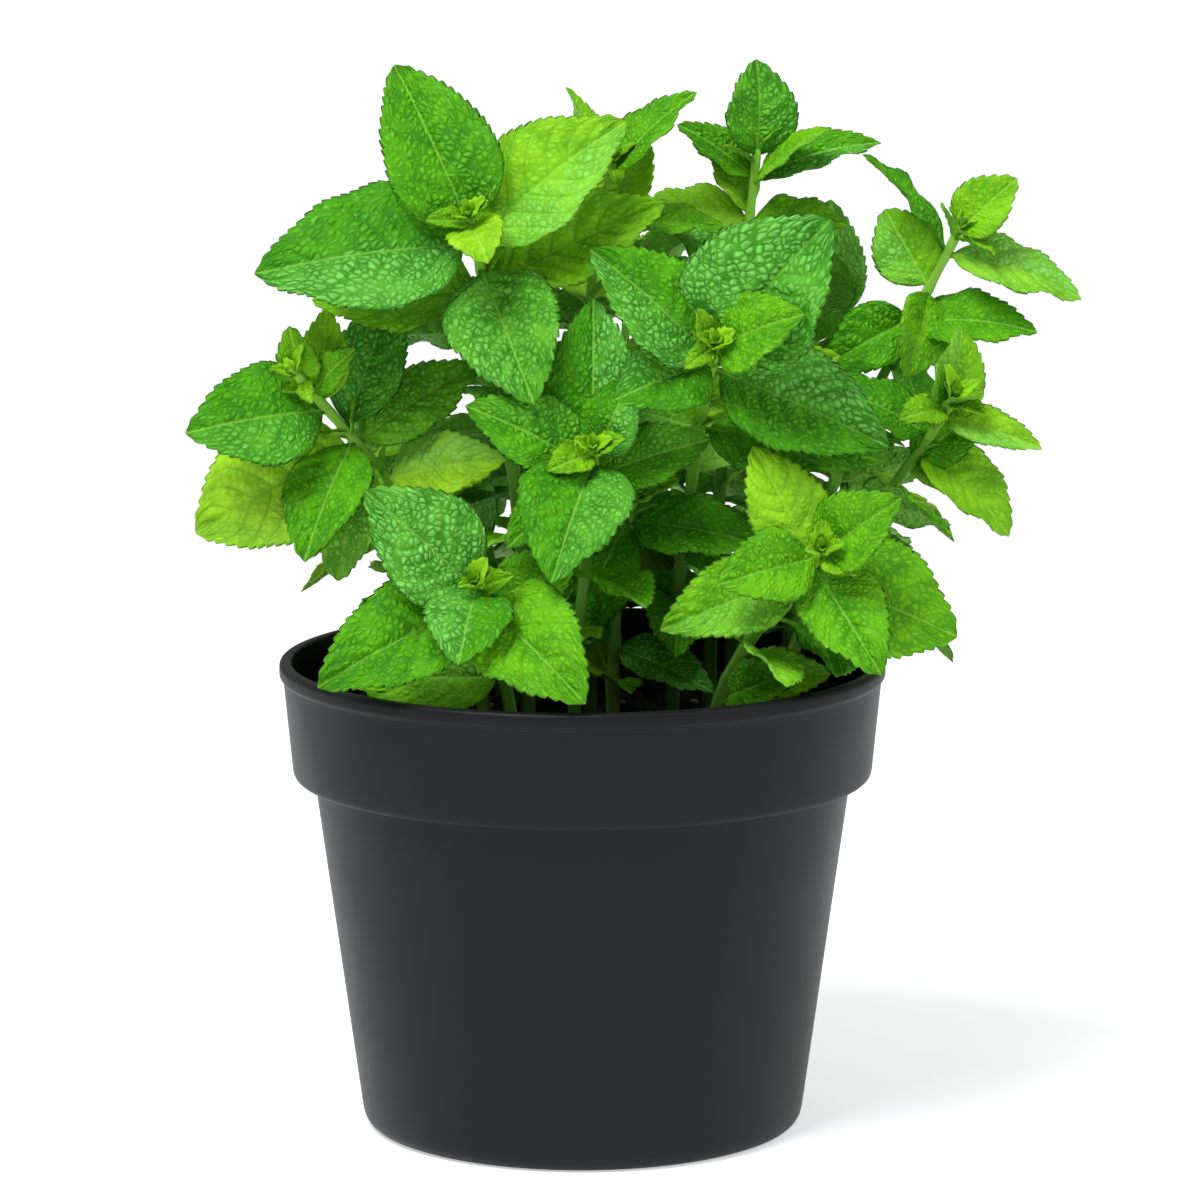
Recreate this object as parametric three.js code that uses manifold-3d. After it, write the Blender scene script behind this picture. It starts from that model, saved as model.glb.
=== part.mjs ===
// A spearmint plant in a moulded plastic pot: a pot, the potting soil in it, and nineteen leafy shoots.
// Millimetres, +Z up. The origin is the centre of the pot's flat underside, and -Y is the plant's front.

import * as THREE from "three";
import { mergeVertices } from "three/addons/utils/BufferGeometryUtils.js";
import Module from "manifold-3d";

// Pot: a tapered body, a wider band above a shelf, and a proud lip round the rim.
const POT_HEIGHT = 125;
const LIP_RADIUS = 80;
const LIP_HEIGHT = 4.5;
const LIP_PROUD = 1;
const LIP_ROUND = 1.2;
const BAND_HEIGHT = 31;
const BAND_FOOT_RADIUS = 76.4;
const BAND_FOOT_ROUND = 2;
const BODY_TOP_RADIUS = 71;
const BODY_FOOT_RADIUS = 58;
const FOOT_ROUND = 4;
const WALL = 2.2;
const FLOOR = 3;
const DRAIN_HOLES = 4;
const DRAIN_RADIUS = 5;
const DRAIN_CIRCLE = 34;
const DRAIN_SIDES = 12;
const POT_SIDES = 32;

// Soil: it fills the pot to a little under the rim, a small gap clear of the wall.
const SOIL_TOP = 107;
const SOIL_RINGS = [0.72, 0.4];
const RIPPLE_HEIGHT = 1.1;
const RIPPLE_ACROSS = 9;
const RIPPLE_DEEP = 7;
const SEAT_GAP = 0.3;

// Stems: square in section, standing in square holes in the soil. Each rises upright, bends once
// and ends along its tip's face: rise and reach are the curve's pulls, as shares of its span.
const STEM_HALF_FOOT = 1.9;
const STEM_HALF_TIP = 1.1;
const STEM_DEPTH = 14;
const STEM_STRAIGHT = 3;
const STEM_RINGS = 6;
const STEM_STEPS = 40;
const STEM_RISE = 0.38;
const STEM_REACH = 0.3;
const SQUARE = [[1, 1], [-1, 1], [-1, -1], [1, -1]];

// Leaf section: the blade along its midrib, and the stalk that it narrows to.
const BLADE_HALF_THICK = 0.55;
const STALK_HALF_THICK = 0.9;
const STALK_HALF_WIDTH = 1.1;
const STALK_END = 0.07;

// Leaf outline: an egg shape. A power under 1 brings the widest place nearer the stalk, and
// another fills out the sides.
const BLADE_START = 0.06;
const EGG_POWER = 0.7;
const EGG_FULLNESS = 0.8;
const DEFAULT_SHARE = 0.58;

// Leaf margin: teeth from a leaf length up, between two places along the midrib. A tooth's point
// stands past its middle, so that it leans to the tip.
const TEETH = [
  { from: 40, teeth: 3 },
  { from: 20, teeth: 2 },
  { from: 14, teeth: 1 },
  { from: 0, teeth: 0 },
];
const TEETH_START = 0.12;
const TEETH_END = 0.96;
const TOOTH_LEAN = 0.75;
const TOOTH_VALLEY = 0.84;
const TOOTH_POINT = 1.04;
const PLAIN_WIDEST = 0.42;

// Leaf bends: the midrib's arc and the fold of the halves in degrees, and the margin's wave as a
// share of the leaf's length. A young leaf is one that is still folded at the shoot's tip.
const YOUNG_LENGTH = 16;
const CURL = [18, 44];
const YOUNG_CURL = [14, 24];
const FOLD = [6, 20];
const YOUNG_FOLD = [22, 22];
const WAVE = [0.0088, 0.0308];
const WAVES = 2.5;

// Nodes of a stem from its tip down, for the leaves that no row names: how far below the tip each
// pair stands, its leaf's length, and its angle off the stem.
const NODES = [
  { drop: 3, length: 10, pitch: 25 },
  { drop: 8, length: 18, pitch: 40 },
  { drop: 15, length: 28, pitch: 58 },
  { drop: 26, length: 38, pitch: 72 },
  { drop: 40, length: 42, pitch: 84 },
  { drop: 56, length: 40, pitch: 92 },
  { drop: 74, length: 36, pitch: 98 },
  { drop: 94, length: 32, pitch: 100 },
  { drop: 116, length: 28, pitch: 100 },
];
const LOWEST_NODE = 15;
const PAIR_TURN = 90;
const AROUND_SPREAD = 24;
const PITCH_SPREAD = 14;
const RULED_STRETCH = [0.9, 1.2];
const RULED_SHARE = [0.56, 0.7];
const RULED_SEED = 100;

// Room: how far apart leaves keep, sample to sample. Leaves of one shoot may come closer, and may
// touch where they join the stem.
const LEAF_GAP = 3.1;
const SAME_SHOOT_GAP = 1.8;
const SAME_SHOOT_FREE = 0.3;
const STEM_THICKNESS = 1.4;
const SAMPLE_STEP = 3;
const STEM_SAMPLE_STEP = 2.5;
const NEAR = 6;
const FAR = 99;
// Room over the soil, over the rim, and beside it above the lowest height a leaf hangs to.
const OVER_SOIL = 2;
const OVER_RIM = 2.5;
const INSIDE_RIM = 6.5;
const OUTSIDE_RIM = 3.5;
const LOWEST_LEAF = 90;
const STALK_FREE = 0.1;
// The bends that are tried in turn: degrees up or down, and degrees round the stem.
const BENDS = [
  [0, 0], [8, 0], [-8, 0], [16, 0], [-16, 0], [24, 0], [-24, 0], [0, 10], [0, -10],
  [12, 10], [-12, -10], [12, -10], [-12, 10], [32, 0], [-32, 0],
  [20, 18], [-20, 18], [20, -18], [-20, -18], [0, 25], [0, -25],
];
const SHRINKS = [1, 0.85, 0.7];

// The shoots. root: where the stem stands in the soil. tip: where it ends. face: the way the tip
// looks, as a heading (degrees clockwise from straight up, seen from the front) and a forward lean
// (degrees towards the front). below: where the ruled leaves start under the tip, and their twist.
// A leaf's row holds its drop below the tip, heading, forward lean, length, width share and, where
// the blade is turned about its own length, how far.
const SHOOTS = [
  {
    name: "top_left", root: [-14, -6], tip: [-29, -26, 245], face: [-10, 52], below: [44, 60],
    leaves: [
      [12, -97, 5, 58, 0.68], [9, -25, -8, 50, 0.64], [12, 51, -5, 51, 0.66], [20, 156, 38, 45, 0.7],
      [4, 150, 62, 20, 0.85], [3, -85, 30, 13, 0.65], [2, 40, 35, 9], [6, 70, 40, 12],
      [26, 66, -14, 52, 0.6], [30, -92, -20, 50, 0.6],
    ],
  },
  {
    name: "left", root: [-26, -4], tip: [-74, -18, 203], face: [-35, 35], below: [52, 20],
    leaves: [
      [15, -97, 15, 39, 0.76, -30], [27, -120, -5, 50, 0.76, -30], [26, -157, 30, 37, 0.7, -10],
      [32, -166, 15, 34, 0.72, -10], [6, -16, 10, 18, 0.68, 20], [3, 150, 50, 9, 0.6],
      [8, 42, 25, 19, 0.6, 30], [7, -90, 40, 11, 0.6], [22, 20, -5, 39, 0.56, 40],
      [27, 58, 5, 39, 0.56, 20], [12, 3, -12, 25, 0.6, 40], [40, 78, 15, 34, 0.62, 20],
    ],
  },
  {
    name: "centre", root: [24, 6], tip: [34, -50, 215], face: [5, 60], below: [34, 80],
    leaves: [
      [8, 39, 12, 49, 0.84], [10, -47, 8, 44, 0.64], [14, 113, 8, 50, 0.62], [12, -106, 28, 30, 0.78],
      [5, 62, 28, 32, 0.7], [2, -120, 40, 12, 0.6], [2, 60, 60, 10, 0.6], [5, -20, 40, 14, 0.6],
      [30, 70, 0, 38, 0.5],
    ],
  },
  {
    name: "top_back", root: [34, 18], tip: [46, 18, 258], face: [5, 8], below: [34, 30],
    leaves: [
      [3, 0, -5, 27, 0.8], [9, 73, 0, 36, 0.44, 30], [8, -55, 0, 25, 0.62, -30],
      [10, 50, 28, 29, 0.5, 30], [4, -60, 20, 12, 0.5], [18, -32, 6, 25, 0.6, -20],
      [19, -84, -5, 30, 0.6, -30], [20, 92, 0, 27, 0.56, 30],
    ],
  },
  {
    name: "top_right", root: [54, 4], tip: [99, 8, 238], face: [24, 15], below: [44, 75],
    leaves: [
      [2, 46, 5, 22, 0.8, 35], [8, 108, 5, 38, 0.54, 20], [8, -40, 0, 35, 0.42],
      [18, -30, -5, 25, 0.8, -60], [3, 110, 40, 14, 0.7], [4, -20, 30, 13, 0.7],
      [29, 92, 15, 35, 0.58, 30], [27, -118, 10, 28, 0.7, -40], [36, 165, 30, 26, 0.65],
      [19, -162, 20, 26, 0.75, -20],
    ],
  },
  {
    name: "right", root: [52, -16], tip: [96, -16, 196], face: [20, 35], below: [38, 20],
    leaves: [
      [19, 131, 10, 33, 0.72], [7, 12, -5, 25, 0.8, 30], [7, 105, 15, 28, 0.46, 20],
      [2, -10, 30, 13, 0.7], [2, 100, 40, 12, 0.7], [4, -95, 40, 17, 0.7], [4, 60, 20, 15, 0.7],
      [13, -64, -10, 34, 0.6], [24, 108, 0, 28, 0.6], [22, 52, 5, 26, 0.62, 25],
      [4, 62, 10, 16, 0.8, 30],
    ],
  },
  {
    name: "front_right", root: [34, -36], tip: [61, -56, 163], face: [5, 62], below: [40, 40],
    leaves: [
      [9, 146, 32, 36, 0.68], [5, 50, 25, 30, 0.75], [5, -101, 25, 29, 0.75], [8, -28, 0, 34, 0.66],
      [14, -109, 12, 40, 0.58], [14, 111, 5, 43, 0.8], [2, 0, 35, 12, 0.7], [2, 115, 50, 13, 0.8],
      [18, 62, -15, 30, 0.56], [56, 66, 20, 25, 0.62], [50, 88, 10, 27, 0.58],
    ],
  },
  {
    name: "front_left", root: [-18, -40], tip: [-27, -58, 155], face: [-8, 60], below: [60, 0],
    leaves: [
      [6, -46, 12, 41, 0.74], [10, -115, 18, 49, 0.6], [10, 128, 34, 46, 0.68],
      [3, 195, 45, 28, 0.85], [2, 20, 45, 13, 0.6], [5, 60, 40, 14, 0.6], [34, -92, 5, 40, 0.58],
      [18, 48, 0, 32, 0.6],
    ],
  },
  {
    name: "middle", root: [-2, -24], tip: [3, -42, 187], face: [-5, 55], below: [36, 30],
    leaves: [
      [6, -158, 38, 42, 0.78], [10, -62, 5, 38, 0.62], [2, 60, 40, 12, 0.7], [3, -105, 35, 15, 0.8],
      [6, 24, 10, 26, 0.66], [12, -125, 20, 34, 0.55], [12, 72, 0, 32, 0.6], [12, 0, -10, 47, 0.58],
    ],
  },
  {
    name: "top", root: [2, 8], tip: [8, 2, 256], face: [15, 20], below: [34, 10],
    leaves: [
      [5, 45, 5, 33, 0.58], [4, -26, 0, 26, 0.42], [18, 34, 6, 25, 0.85], [2, -20, 10, 10],
      [2, 160, 50, 12], [5, -130, 20, 28, 0.5], [18, 92, -5, 34, 0.6],
    ],
  },
  {
    name: "low_centre", root: [8, -14], tip: [14, -22, 172], face: [20, 42], below: [60, 0],
    leaves: [
      [10, 97, 12, 38, 0.62], [8, -155, 20, 38, 0.55], [3, -60, 30, 14, 0.6], [3, 60, 30, 16, 0.6],
      [16, -100, 0, 30, 0.5], [42, -95, 25, 34, 0.5], [44, 112, 20, 30, 0.6], [53, -72, 0, 32, 0.55],
      [54, 75, 45, 30, 0.55],
    ],
  },
  {
    name: "back_left_high", root: [-16, 26], tip: [-22, 46, 214], face: [-20, -25], below: [8, 50],
    leaves: [[14, -84, 20, 42, 0.62], [25, -88, 25, 36, 0.7, -30], [38, -98, 15, 44, 0.7, -30]],
  },
  {
    name: "back_middle_high", root: [8, 40], tip: [14, 62, 222], face: [10, -30], below: [8, 10],
    leaves: [
      [6, 52, 10, 26, 0.7], [14, -95, 10, 36, 0.7], [36, 102, 20, 38, 0.7, 30],
      [38, -95, 20, 38, 0.7],
    ],
  },
  {
    name: "back_right_high", root: [40, 34], tip: [68, 36, 218], face: [30, -15], below: [8, 60],
    leaves: [[12, 6, 0, 36, 0.66, 50], [22, 86, 10, 26, 0.7, 35]],
  },
  {
    name: "back_left", root: [-40, 18], tip: [-60, 44, 172], face: [-50, -20], below: [8, 20],
    leaves: [],
  },
  {
    name: "back_right", root: [54, 26], tip: [80, 52, 172], face: [50, -25], below: [8, 35],
    leaves: [[7, -86, 15, 36, 0.68, -30]],
  },
  {
    name: "back_low_left", root: [-22, 46], tip: [-34, 84, 158], face: [-40, -45], below: [8, 70],
    leaves: [],
  },
  {
    name: "back_low_middle", root: [-2, 60], tip: [0, 88, 148], face: [0, -55], below: [8, 45],
    leaves: [],
  },
  {
    name: "back_low_right", root: [26, 52], tip: [34, 88, 166], face: [30, -45], below: [8, 25],
    leaves: [[9, -96, 25, 34, 0.7], [10, 100, 25, 34, 0.7], [39, -96, 14, 36, 0.7]],
  },
];

const wasm = await Module();
wasm.setup();

// Small tools: directions, angles and repeatable draws.
const UP = new THREE.Vector3(0, 0, 1);
const FRONT = new THREE.Vector3(0, -1, 0);
// The front tilted by a hair, so that no leaf lies exactly along it.
const NEARLY_FRONT = new THREE.Vector3(0, -1, 0.001);
const FULL_TURN = 2 * Math.PI;
const HAIR = 1e-3;
const radians = (degrees) => (degrees * Math.PI) / 180;
const vector = (xyz) => new THREE.Vector3(...xyz);
const between = ([low, high], share) => low + (high - low) * share;
// The part of v square to a unit axis.
const squareTo = (v, axis) => v.clone().addScaledVector(axis, -v.dot(axis));
const turned = (v, axis, degrees) => v.clone().applyAxisAngle(axis, radians(degrees));

// A repeatable draw from 0 to 1 for three whole numbers: the fraction of a large sine.
function draw(a, b, c) {
  const v = Math.sin(a * 12.9898 + b * 78.233 + c * 37.719) * 43758.5453;
  return v - Math.floor(v);
}

// The direction of a heading and a forward lean.
function aim([heading, forward]) {
  const h = radians(heading);
  const f = radians(forward);
  return new THREE.Vector3(Math.cos(f) * Math.sin(h), -Math.sin(f), Math.cos(f) * Math.cos(h));
}

// A closed three.js geometry as a solid, with its faces turned outwards.
function solidOf(geometry) {
  const bare = geometry.clone();
  bare.deleteAttribute("normal");
  bare.deleteAttribute("uv");
  const merged = mergeVertices(bare, HAIR / 10);
  const corners = [...merged.index.array];
  const triVerts = [];
  for (let i = 0; i < corners.length; i += 3) {
    const [a, b, c] = corners.slice(i, i + 3);
    if (a !== b && b !== c && c !== a) triVerts.push(a, b, c);
  }
  const make = (order) =>
    new wasm.Manifold(
      new wasm.Mesh({
        numProp: 3,
        vertProperties: new Float32Array(merged.attributes.position.array),
        triVerts: new Uint32Array(order),
      }),
    );
  const made = make(triVerts);
  return made.volume() < 0 ? make(triVerts.reverse()) : made;
}

// A solid as a three.js geometry.
function geometryOf(solid) {
  const mesh = solid.getMesh();
  const positions = new Float32Array(mesh.numVert * 3);
  for (let i = 0; i < mesh.numVert; i++) {
    const start = i * mesh.numProp;
    positions.set(mesh.vertProperties.subarray(start, start + 3), i * 3);
  }
  const geometry = new THREE.BufferGeometry();
  geometry.setAttribute("position", new THREE.BufferAttribute(positions, 3));
  geometry.setIndex(new THREE.BufferAttribute(new Uint32Array(mesh.triVerts), 1));
  geometry.computeVertexNormals();
  return geometry;
}

// The largest body of a solid: a loose scrap of a join is dropped.
function mainBody(solid) {
  return solid.decompose().reduce((most, body) => (body.volume() > most.volume() ? body : most));
}

// A profile of [radius, height] pairs turned about the pot's axis.
function turnedGeometry(profile) {
  const points = profile.map(([r, z]) => new THREE.Vector2(r, z));
  return new THREE.LatheGeometry(points, POT_SIDES).rotateX(Math.PI / 2);
}

// A skin over rings of points: the faces count the points in the order the rings are given.
function skinOf(rings, faces) {
  const geometry = new THREE.BufferGeometry();
  const numbers = rings.flat().flatMap((p) => [p.x, p.y, p.z]);
  geometry.setAttribute("position", new THREE.Float32BufferAttribute(numbers, 3));
  geometry.setIndex(faces);
  return solidOf(geometry);
}

// Pot.
const BAND_FOOT = POT_HEIGHT - BAND_HEIGHT;
const BAND_TOP = POT_HEIGHT - LIP_HEIGHT;
const BAND_TOP_RADIUS = LIP_RADIUS - LIP_PROUD;
const SHELF = BAND_FOOT + WALL;
// How far the middle of a quarter round stands in from its corner, as a share of its radius.
const ROUND_MIDDLE = 1 - Math.SQRT1_2;

const bodyRadius = (z) => between([BODY_FOOT_RADIUS, BODY_TOP_RADIUS], z / BAND_FOOT);
const bandRadius = (z) =>
  between([BAND_FOOT_RADIUS, BAND_TOP_RADIUS], (z - BAND_FOOT) / (BAND_TOP - BAND_FOOT));
// The wall's inner radius at a height, under the shelf and above it.
const innerRadius = (z) => (z < SHELF ? bodyRadius(z) : bandRadius(z)) - WALL;

function makePot() {
  const footMiddle = FOOT_ROUND * ROUND_MIDDLE;
  const bandMiddle = BAND_FOOT_ROUND * ROUND_MIDDLE;
  const underShelf = SHELF - HAIR;
  const shell = turnedGeometry([
    [0, 0],
    [BODY_FOOT_RADIUS - FOOT_ROUND, 0],
    [BODY_FOOT_RADIUS - footMiddle, footMiddle],
    [bodyRadius(FOOT_ROUND), FOOT_ROUND],
    [BODY_TOP_RADIUS, BAND_FOOT],
    [BAND_FOOT_RADIUS - BAND_FOOT_ROUND, BAND_FOOT],
    [BAND_FOOT_RADIUS - bandMiddle, BAND_FOOT + bandMiddle],
    [bandRadius(BAND_FOOT + BAND_FOOT_ROUND), BAND_FOOT + BAND_FOOT_ROUND],
    [BAND_TOP_RADIUS, BAND_TOP],
    [LIP_RADIUS, BAND_TOP + LIP_PROUD],
    [LIP_RADIUS, POT_HEIGHT - LIP_ROUND],
    [LIP_RADIUS - LIP_ROUND, POT_HEIGHT],
    [innerRadius(POT_HEIGHT), POT_HEIGHT],
    [innerRadius(SHELF), SHELF],
    [innerRadius(underShelf), SHELF],
    [innerRadius(FLOOR), FLOOR],
    [0, FLOOR],
  ]);
  const drain = new THREE.CylinderGeometry(DRAIN_RADIUS, DRAIN_RADIUS, 4 * FLOOR, DRAIN_SIDES);
  drain.rotateX(Math.PI / 2);
  let pot = solidOf(shell);
  for (let i = 0; i < DRAIN_HOLES; i++) {
    const angle = ((i + 0.5) * FULL_TURN) / DRAIN_HOLES;
    const at = [DRAIN_CIRCLE * Math.cos(angle), DRAIN_CIRCLE * Math.sin(angle), 0];
    pot = pot.subtract(solidOf(drain.clone().translate(...at)));
  }
  return pot;
}

// Soil: the inside of the pot in one solid, its top rippled, with a square hole for each stem.
function makeSoil() {
  const inside = (z) => innerRadius(z) - SEAT_GAP;
  const low = FLOOR + SEAT_GAP;
  const step = SHELF + SEAT_GAP;
  const edge = inside(SOIL_TOP);
  const body = turnedGeometry([
    [0, low],
    [inside(low), low],
    [inside(SHELF - HAIR), step],
    [inside(step), step],
    [edge, SOIL_TOP],
    ...SOIL_RINGS.map((share) => [edge * share, SOIL_TOP]),
    [0, SOIL_TOP],
  ]);
  const position = body.getAttribute("position");
  for (let i = 0; i < position.count; i++) {
    const ripple = Math.sin(position.getX(i) / RIPPLE_ACROSS) * Math.cos(position.getY(i) / RIPPLE_DEEP);
    if (position.getZ(i) > SOIL_TOP - HAIR) position.setZ(i, SOIL_TOP + RIPPLE_HEIGHT * ripple);
  }
  const side = 2 * (STEM_HALF_FOOT + SEAT_GAP);
  const bottom = SOIL_TOP - STEM_DEPTH - SEAT_GAP;
  const top = SOIL_TOP + 2 * RIPPLE_HEIGHT;
  return SHOOTS.reduce((soil, { root: [x, y] }) => {
    const hole = new THREE.BoxGeometry(side, side, top - bottom).translate(x, y, (top + bottom) / 2);
    return soil.subtract(solidOf(hole));
  }, solidOf(body));
}

// A stem's middle line: one cubic curve that leaves the soil upright and ends along the tip's face.
function stemCurve({ root: [x, y], tip, face }) {
  const start = new THREE.Vector3(x, y, SOIL_TOP + STEM_STRAIGHT);
  const end = vector(tip);
  const span = start.distanceTo(end);
  const rise = start.clone().addScaledVector(UP, span * STEM_RISE);
  const back = end.clone().addScaledVector(aim(face), -span * STEM_REACH);
  const curve = new THREE.CubicBezierCurve3(start, rise, back, end);
  return curve.getPoints(STEM_STEPS);
}

// A stem, with its length, the point at a drop below its tip, and the way it runs there.
function makeStem(shoot) {
  const points = stemCurve(shoot);
  const runs = [0];
  for (let i = 1; i < points.length; i++) runs.push(runs[i - 1] + points[i].distanceTo(points[i - 1]));
  const total = runs[runs.length - 1];
  const at = (drop) => {
    const run = Math.min(Math.max(total - drop, 0), total);
    let i = 1;
    while (i < runs.length - 1 && runs[i] < run) i++;
    return points[i - 1].clone().lerp(points[i], (run - runs[i - 1]) / (runs[i] - runs[i - 1]));
  };
  const axisAt = (drop) => at(drop - 1).sub(at(drop + 1)).normalize();
  return { total, at, axisAt };
}

// The stem's solid: square rings carried up the middle line without twisting, the first of them
// down in the soil.
function stemSolid({ root: [x, y] }, stem) {
  const centres = [new THREE.Vector3(x, y, SOIL_TOP - STEM_DEPTH)];
  const axes = [UP];
  for (let i = 0; i < STEM_RINGS; i++) {
    const drop = stem.total * (1 - i / (STEM_RINGS - 1));
    centres.push(stem.at(drop));
    axes.push(i === 0 ? UP : stem.axisAt(drop));
  }
  let side = new THREE.Vector3(1, 0, 0);
  const rings = centres.map((centre, i) => {
    side = squareTo(side, axes[i]).normalize();
    const other = axes[i].clone().cross(side);
    const half = between([STEM_HALF_FOOT, STEM_HALF_TIP], Math.max(i - 1, 0) / (STEM_RINGS - 1));
    return SQUARE.map(([a, b]) =>
      centre.clone().addScaledVector(side, a * half).addScaledVector(other, b * half),
    );
  });
  const faces = [0, 2, 1, 0, 3, 2];
  for (let i = 0; i < rings.length - 1; i++) {
    for (let k = 0; k < 4; k++) {
      const [a, b] = [4 * i + k, 4 * i + ((k + 1) % 4)];
      faces.push(a, b, b + 4, a, b + 4, a + 4);
    }
  }
  const last = 4 * (rings.length - 1);
  faces.push(last, last + 1, last + 2, last, last + 2, last + 3);
  return skinOf(rings, faces);
}

// The blade's half width along the midrib, as a share of its widest.
function widthShare(t) {
  const blade = Math.min(Math.max((t - BLADE_START) / (1 - BLADE_START), 0), 1);
  return Math.sin(Math.PI * blade ** EGG_POWER) ** EGG_FULLNESS;
}

// A leaf: where its stalk starts, the way its chord points, the way its upper face looks, its size
// and the draws that make it differ from its neighbours.
function makeLeaf(base, face, along, roll, length, share, seed) {
  const tilted = squareTo(face, along);
  const up = tilted.length() < 0.15 ? squareTo(UP, along) : tilted;
  const young = length <= YOUNG_LENGTH;
  return {
    base,
    along,
    up: turned(up.normalize(), along, roll),
    length,
    width: share * length,
    curl: between(young ? YOUNG_CURL : CURL, draw(...seed, 1)),
    fold: between(young ? YOUNG_FOLD : FOLD, draw(...seed, 2)),
    wave: length * between(WAVE, draw(...seed, 3)),
    phase: FULL_TURN * draw(...seed, 4),
  };
}

// The midrib is an arc over the chord: its place and the blade's upward direction at t.
function midribAt(leaf, t) {
  const curl = radians(leaf.curl);
  const angle = curl * (0.5 - t);
  const radius = leaf.length / curl;
  const forth = radius * (Math.sin(curl / 2) - Math.sin(angle));
  const lift = radius * (Math.cos(angle) - Math.cos(curl / 2));
  const place = leaf.base.clone().addScaledVector(leaf.along, forth).addScaledVector(leaf.up, lift);
  const normal = leaf.up.clone().multiplyScalar(Math.cos(angle));
  return { place, normal: normal.addScaledVector(leaf.along, -Math.sin(angle)) };
}

// A point of the blade's middle surface, u from -1 to 1 across: the two halves fold up from the
// midrib, and the margin waves.
function bladePoint(leaf, t, u, widen = 1) {
  const { place, normal } = midribAt(leaf, t);
  const share = widthShare(t);
  const half = 0.5 * leaf.width * share * widen;
  const fold = radians(leaf.fold);
  const wave = leaf.wave * u * u * share * Math.sin(WAVES * FULL_TURN * t + leaf.phase);
  const side = leaf.along.clone().cross(leaf.up);
  place.addScaledVector(side, half * u * Math.cos(fold));
  return place.addScaledVector(normal, half * Math.abs(u) * Math.sin(fold) + wave);
}

// The places along the midrib where a leaf has a ring: the stalk's two ends, then a valley and a
// point for each tooth.
function stopsOf(leaf) {
  const { teeth } = TEETH.find(({ from }) => leaf.length >= from);
  const blade = [];
  if (!teeth) blade.push({ t: PLAIN_WIDEST, widen: 1 });
  for (let k = 0; k < teeth; k++) {
    blade.push({ t: between([TEETH_START, TEETH_END], k / teeth), widen: TOOTH_VALLEY });
    blade.push({ t: between([TEETH_START, TEETH_END], (k + TOOTH_LEAN) / teeth), widen: TOOTH_POINT });
  }
  return [{ t: 0 }, { t: STALK_END }, ...blade];
}

// The blade as a solid: a flat lens in section, with teeth down both margins that lean to the tip.
// Both faces are split into the same triangles.
function leafSolid(leaf) {
  const side = leaf.along.clone().cross(leaf.up);
  const rings = stopsOf(leaf).map(({ t, widen }) => {
    const { place, normal } = midribAt(leaf, t);
    const half = widen ? BLADE_HALF_THICK : STALK_HALF_THICK;
    const margin = (u) =>
      widen ? bladePoint(leaf, t, u, widen) : place.clone().addScaledVector(side, u * STALK_HALF_WIDTH);
    return [
      margin(-1),
      place.clone().addScaledVector(normal, half),
      margin(1),
      place.clone().addScaledVector(normal, -half),
    ];
  });
  const faces = [0, 1, 2, 0, 2, 3];
  for (let i = 0; i < rings.length - 1; i++) {
    const r = 4 * i;
    const n = r + 4;
    for (const margin of [0, 2]) {
      const ahead = margin === 0 ? 1 : 3;
      const behind = margin === 0 ? 3 : 1;
      faces.push(r + margin, n + ahead, r + ahead, r + margin, n + margin, n + ahead);
      faces.push(r + margin, r + behind, n + behind, r + margin, n + behind, n + margin);
    }
  }
  const last = 4 * (rings.length - 1);
  const tip = 4 * rings.length;
  for (let k = 0; k < 4; k++) faces.push(last + k, tip, last + ((k + 1) % 4));
  return skinOf([...rings, [midribAt(leaf, 1).place]], faces);
}

// Points spread over a blade, for the gaps between leaves.
function samplesOf(leaf) {
  const rows = Math.ceil(leaf.length / SAMPLE_STEP);
  const across = leaf.length > 20 ? 6 : 4;
  const samples = [];
  for (let i = 0; i <= rows; i++) {
    for (let j = 0; j <= across; j++) {
      const t = i / rows;
      samples.push({ t, p: bladePoint(leaf, t, (2 * j) / across - 1) });
    }
  }
  return samples;
}

// Whether a point is clear of the soil, the pot's wall and the space beside it.
function clearOfPot(p) {
  const r = Math.hypot(p.x, p.y);
  if (r > LIP_RADIUS + OUTSIDE_RIM) return p.z >= LOWEST_LEAF;
  if (r > LIP_RADIUS - INSIDE_RIM) return p.z >= POT_HEIGHT + OVER_RIM;
  return p.z >= SOIL_TOP + OVER_SOIL;
}

// The least gap from a leaf's samples to the other shoots' stems and to the leaves already placed.
function clearance(samples, shoot, stemSamples, placed) {
  const box = new THREE.Box3().setFromPoints(samples.map((s) => s.p)).expandByScalar(NEAR);
  let least = FAR;
  stemSamples.forEach((points, other) => {
    if (other === shoot) return;
    for (const q of points) {
      if (!box.containsPoint(q)) continue;
      for (const s of samples) least = Math.min(least, s.p.distanceTo(q) - STEM_THICKNESS);
    }
  });
  for (const leaf of placed) {
    if (!box.intersectsBox(leaf.box)) continue;
    const same = leaf.shoot === shoot;
    const extra = same ? LEAF_GAP - SAME_SHOOT_GAP : 0;
    const free = same ? SAME_SHOOT_FREE : -1;
    for (const s of samples) {
      if (s.t <= free) continue;
      for (const q of leaf.samples) {
        if (q.t > free) least = Math.min(least, s.p.distanceTo(q.p) + extra);
      }
    }
  }
  return least;
}

// The leaves that grow: first the written rows of every shoot, then the ruled pairs lower down.
function leafJobs(stems) {
  const written = SHOOTS.flatMap(({ face, leaves }, shoot) =>
    leaves.map(([drop, heading, forward, length, share = DEFAULT_SHARE, roll = 0], row) => ({
      shoot,
      seed: row,
      base: stems[shoot].at(drop),
      face: aim(face),
      along: aim([heading, forward]),
      roll,
      length,
      share,
      written: true,
    })),
  );
  const ruled = SHOOTS.flatMap((_, shoot) => ruledPairs(shoot, stems[shoot]));
  return [...written, ...ruled];
}

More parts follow.
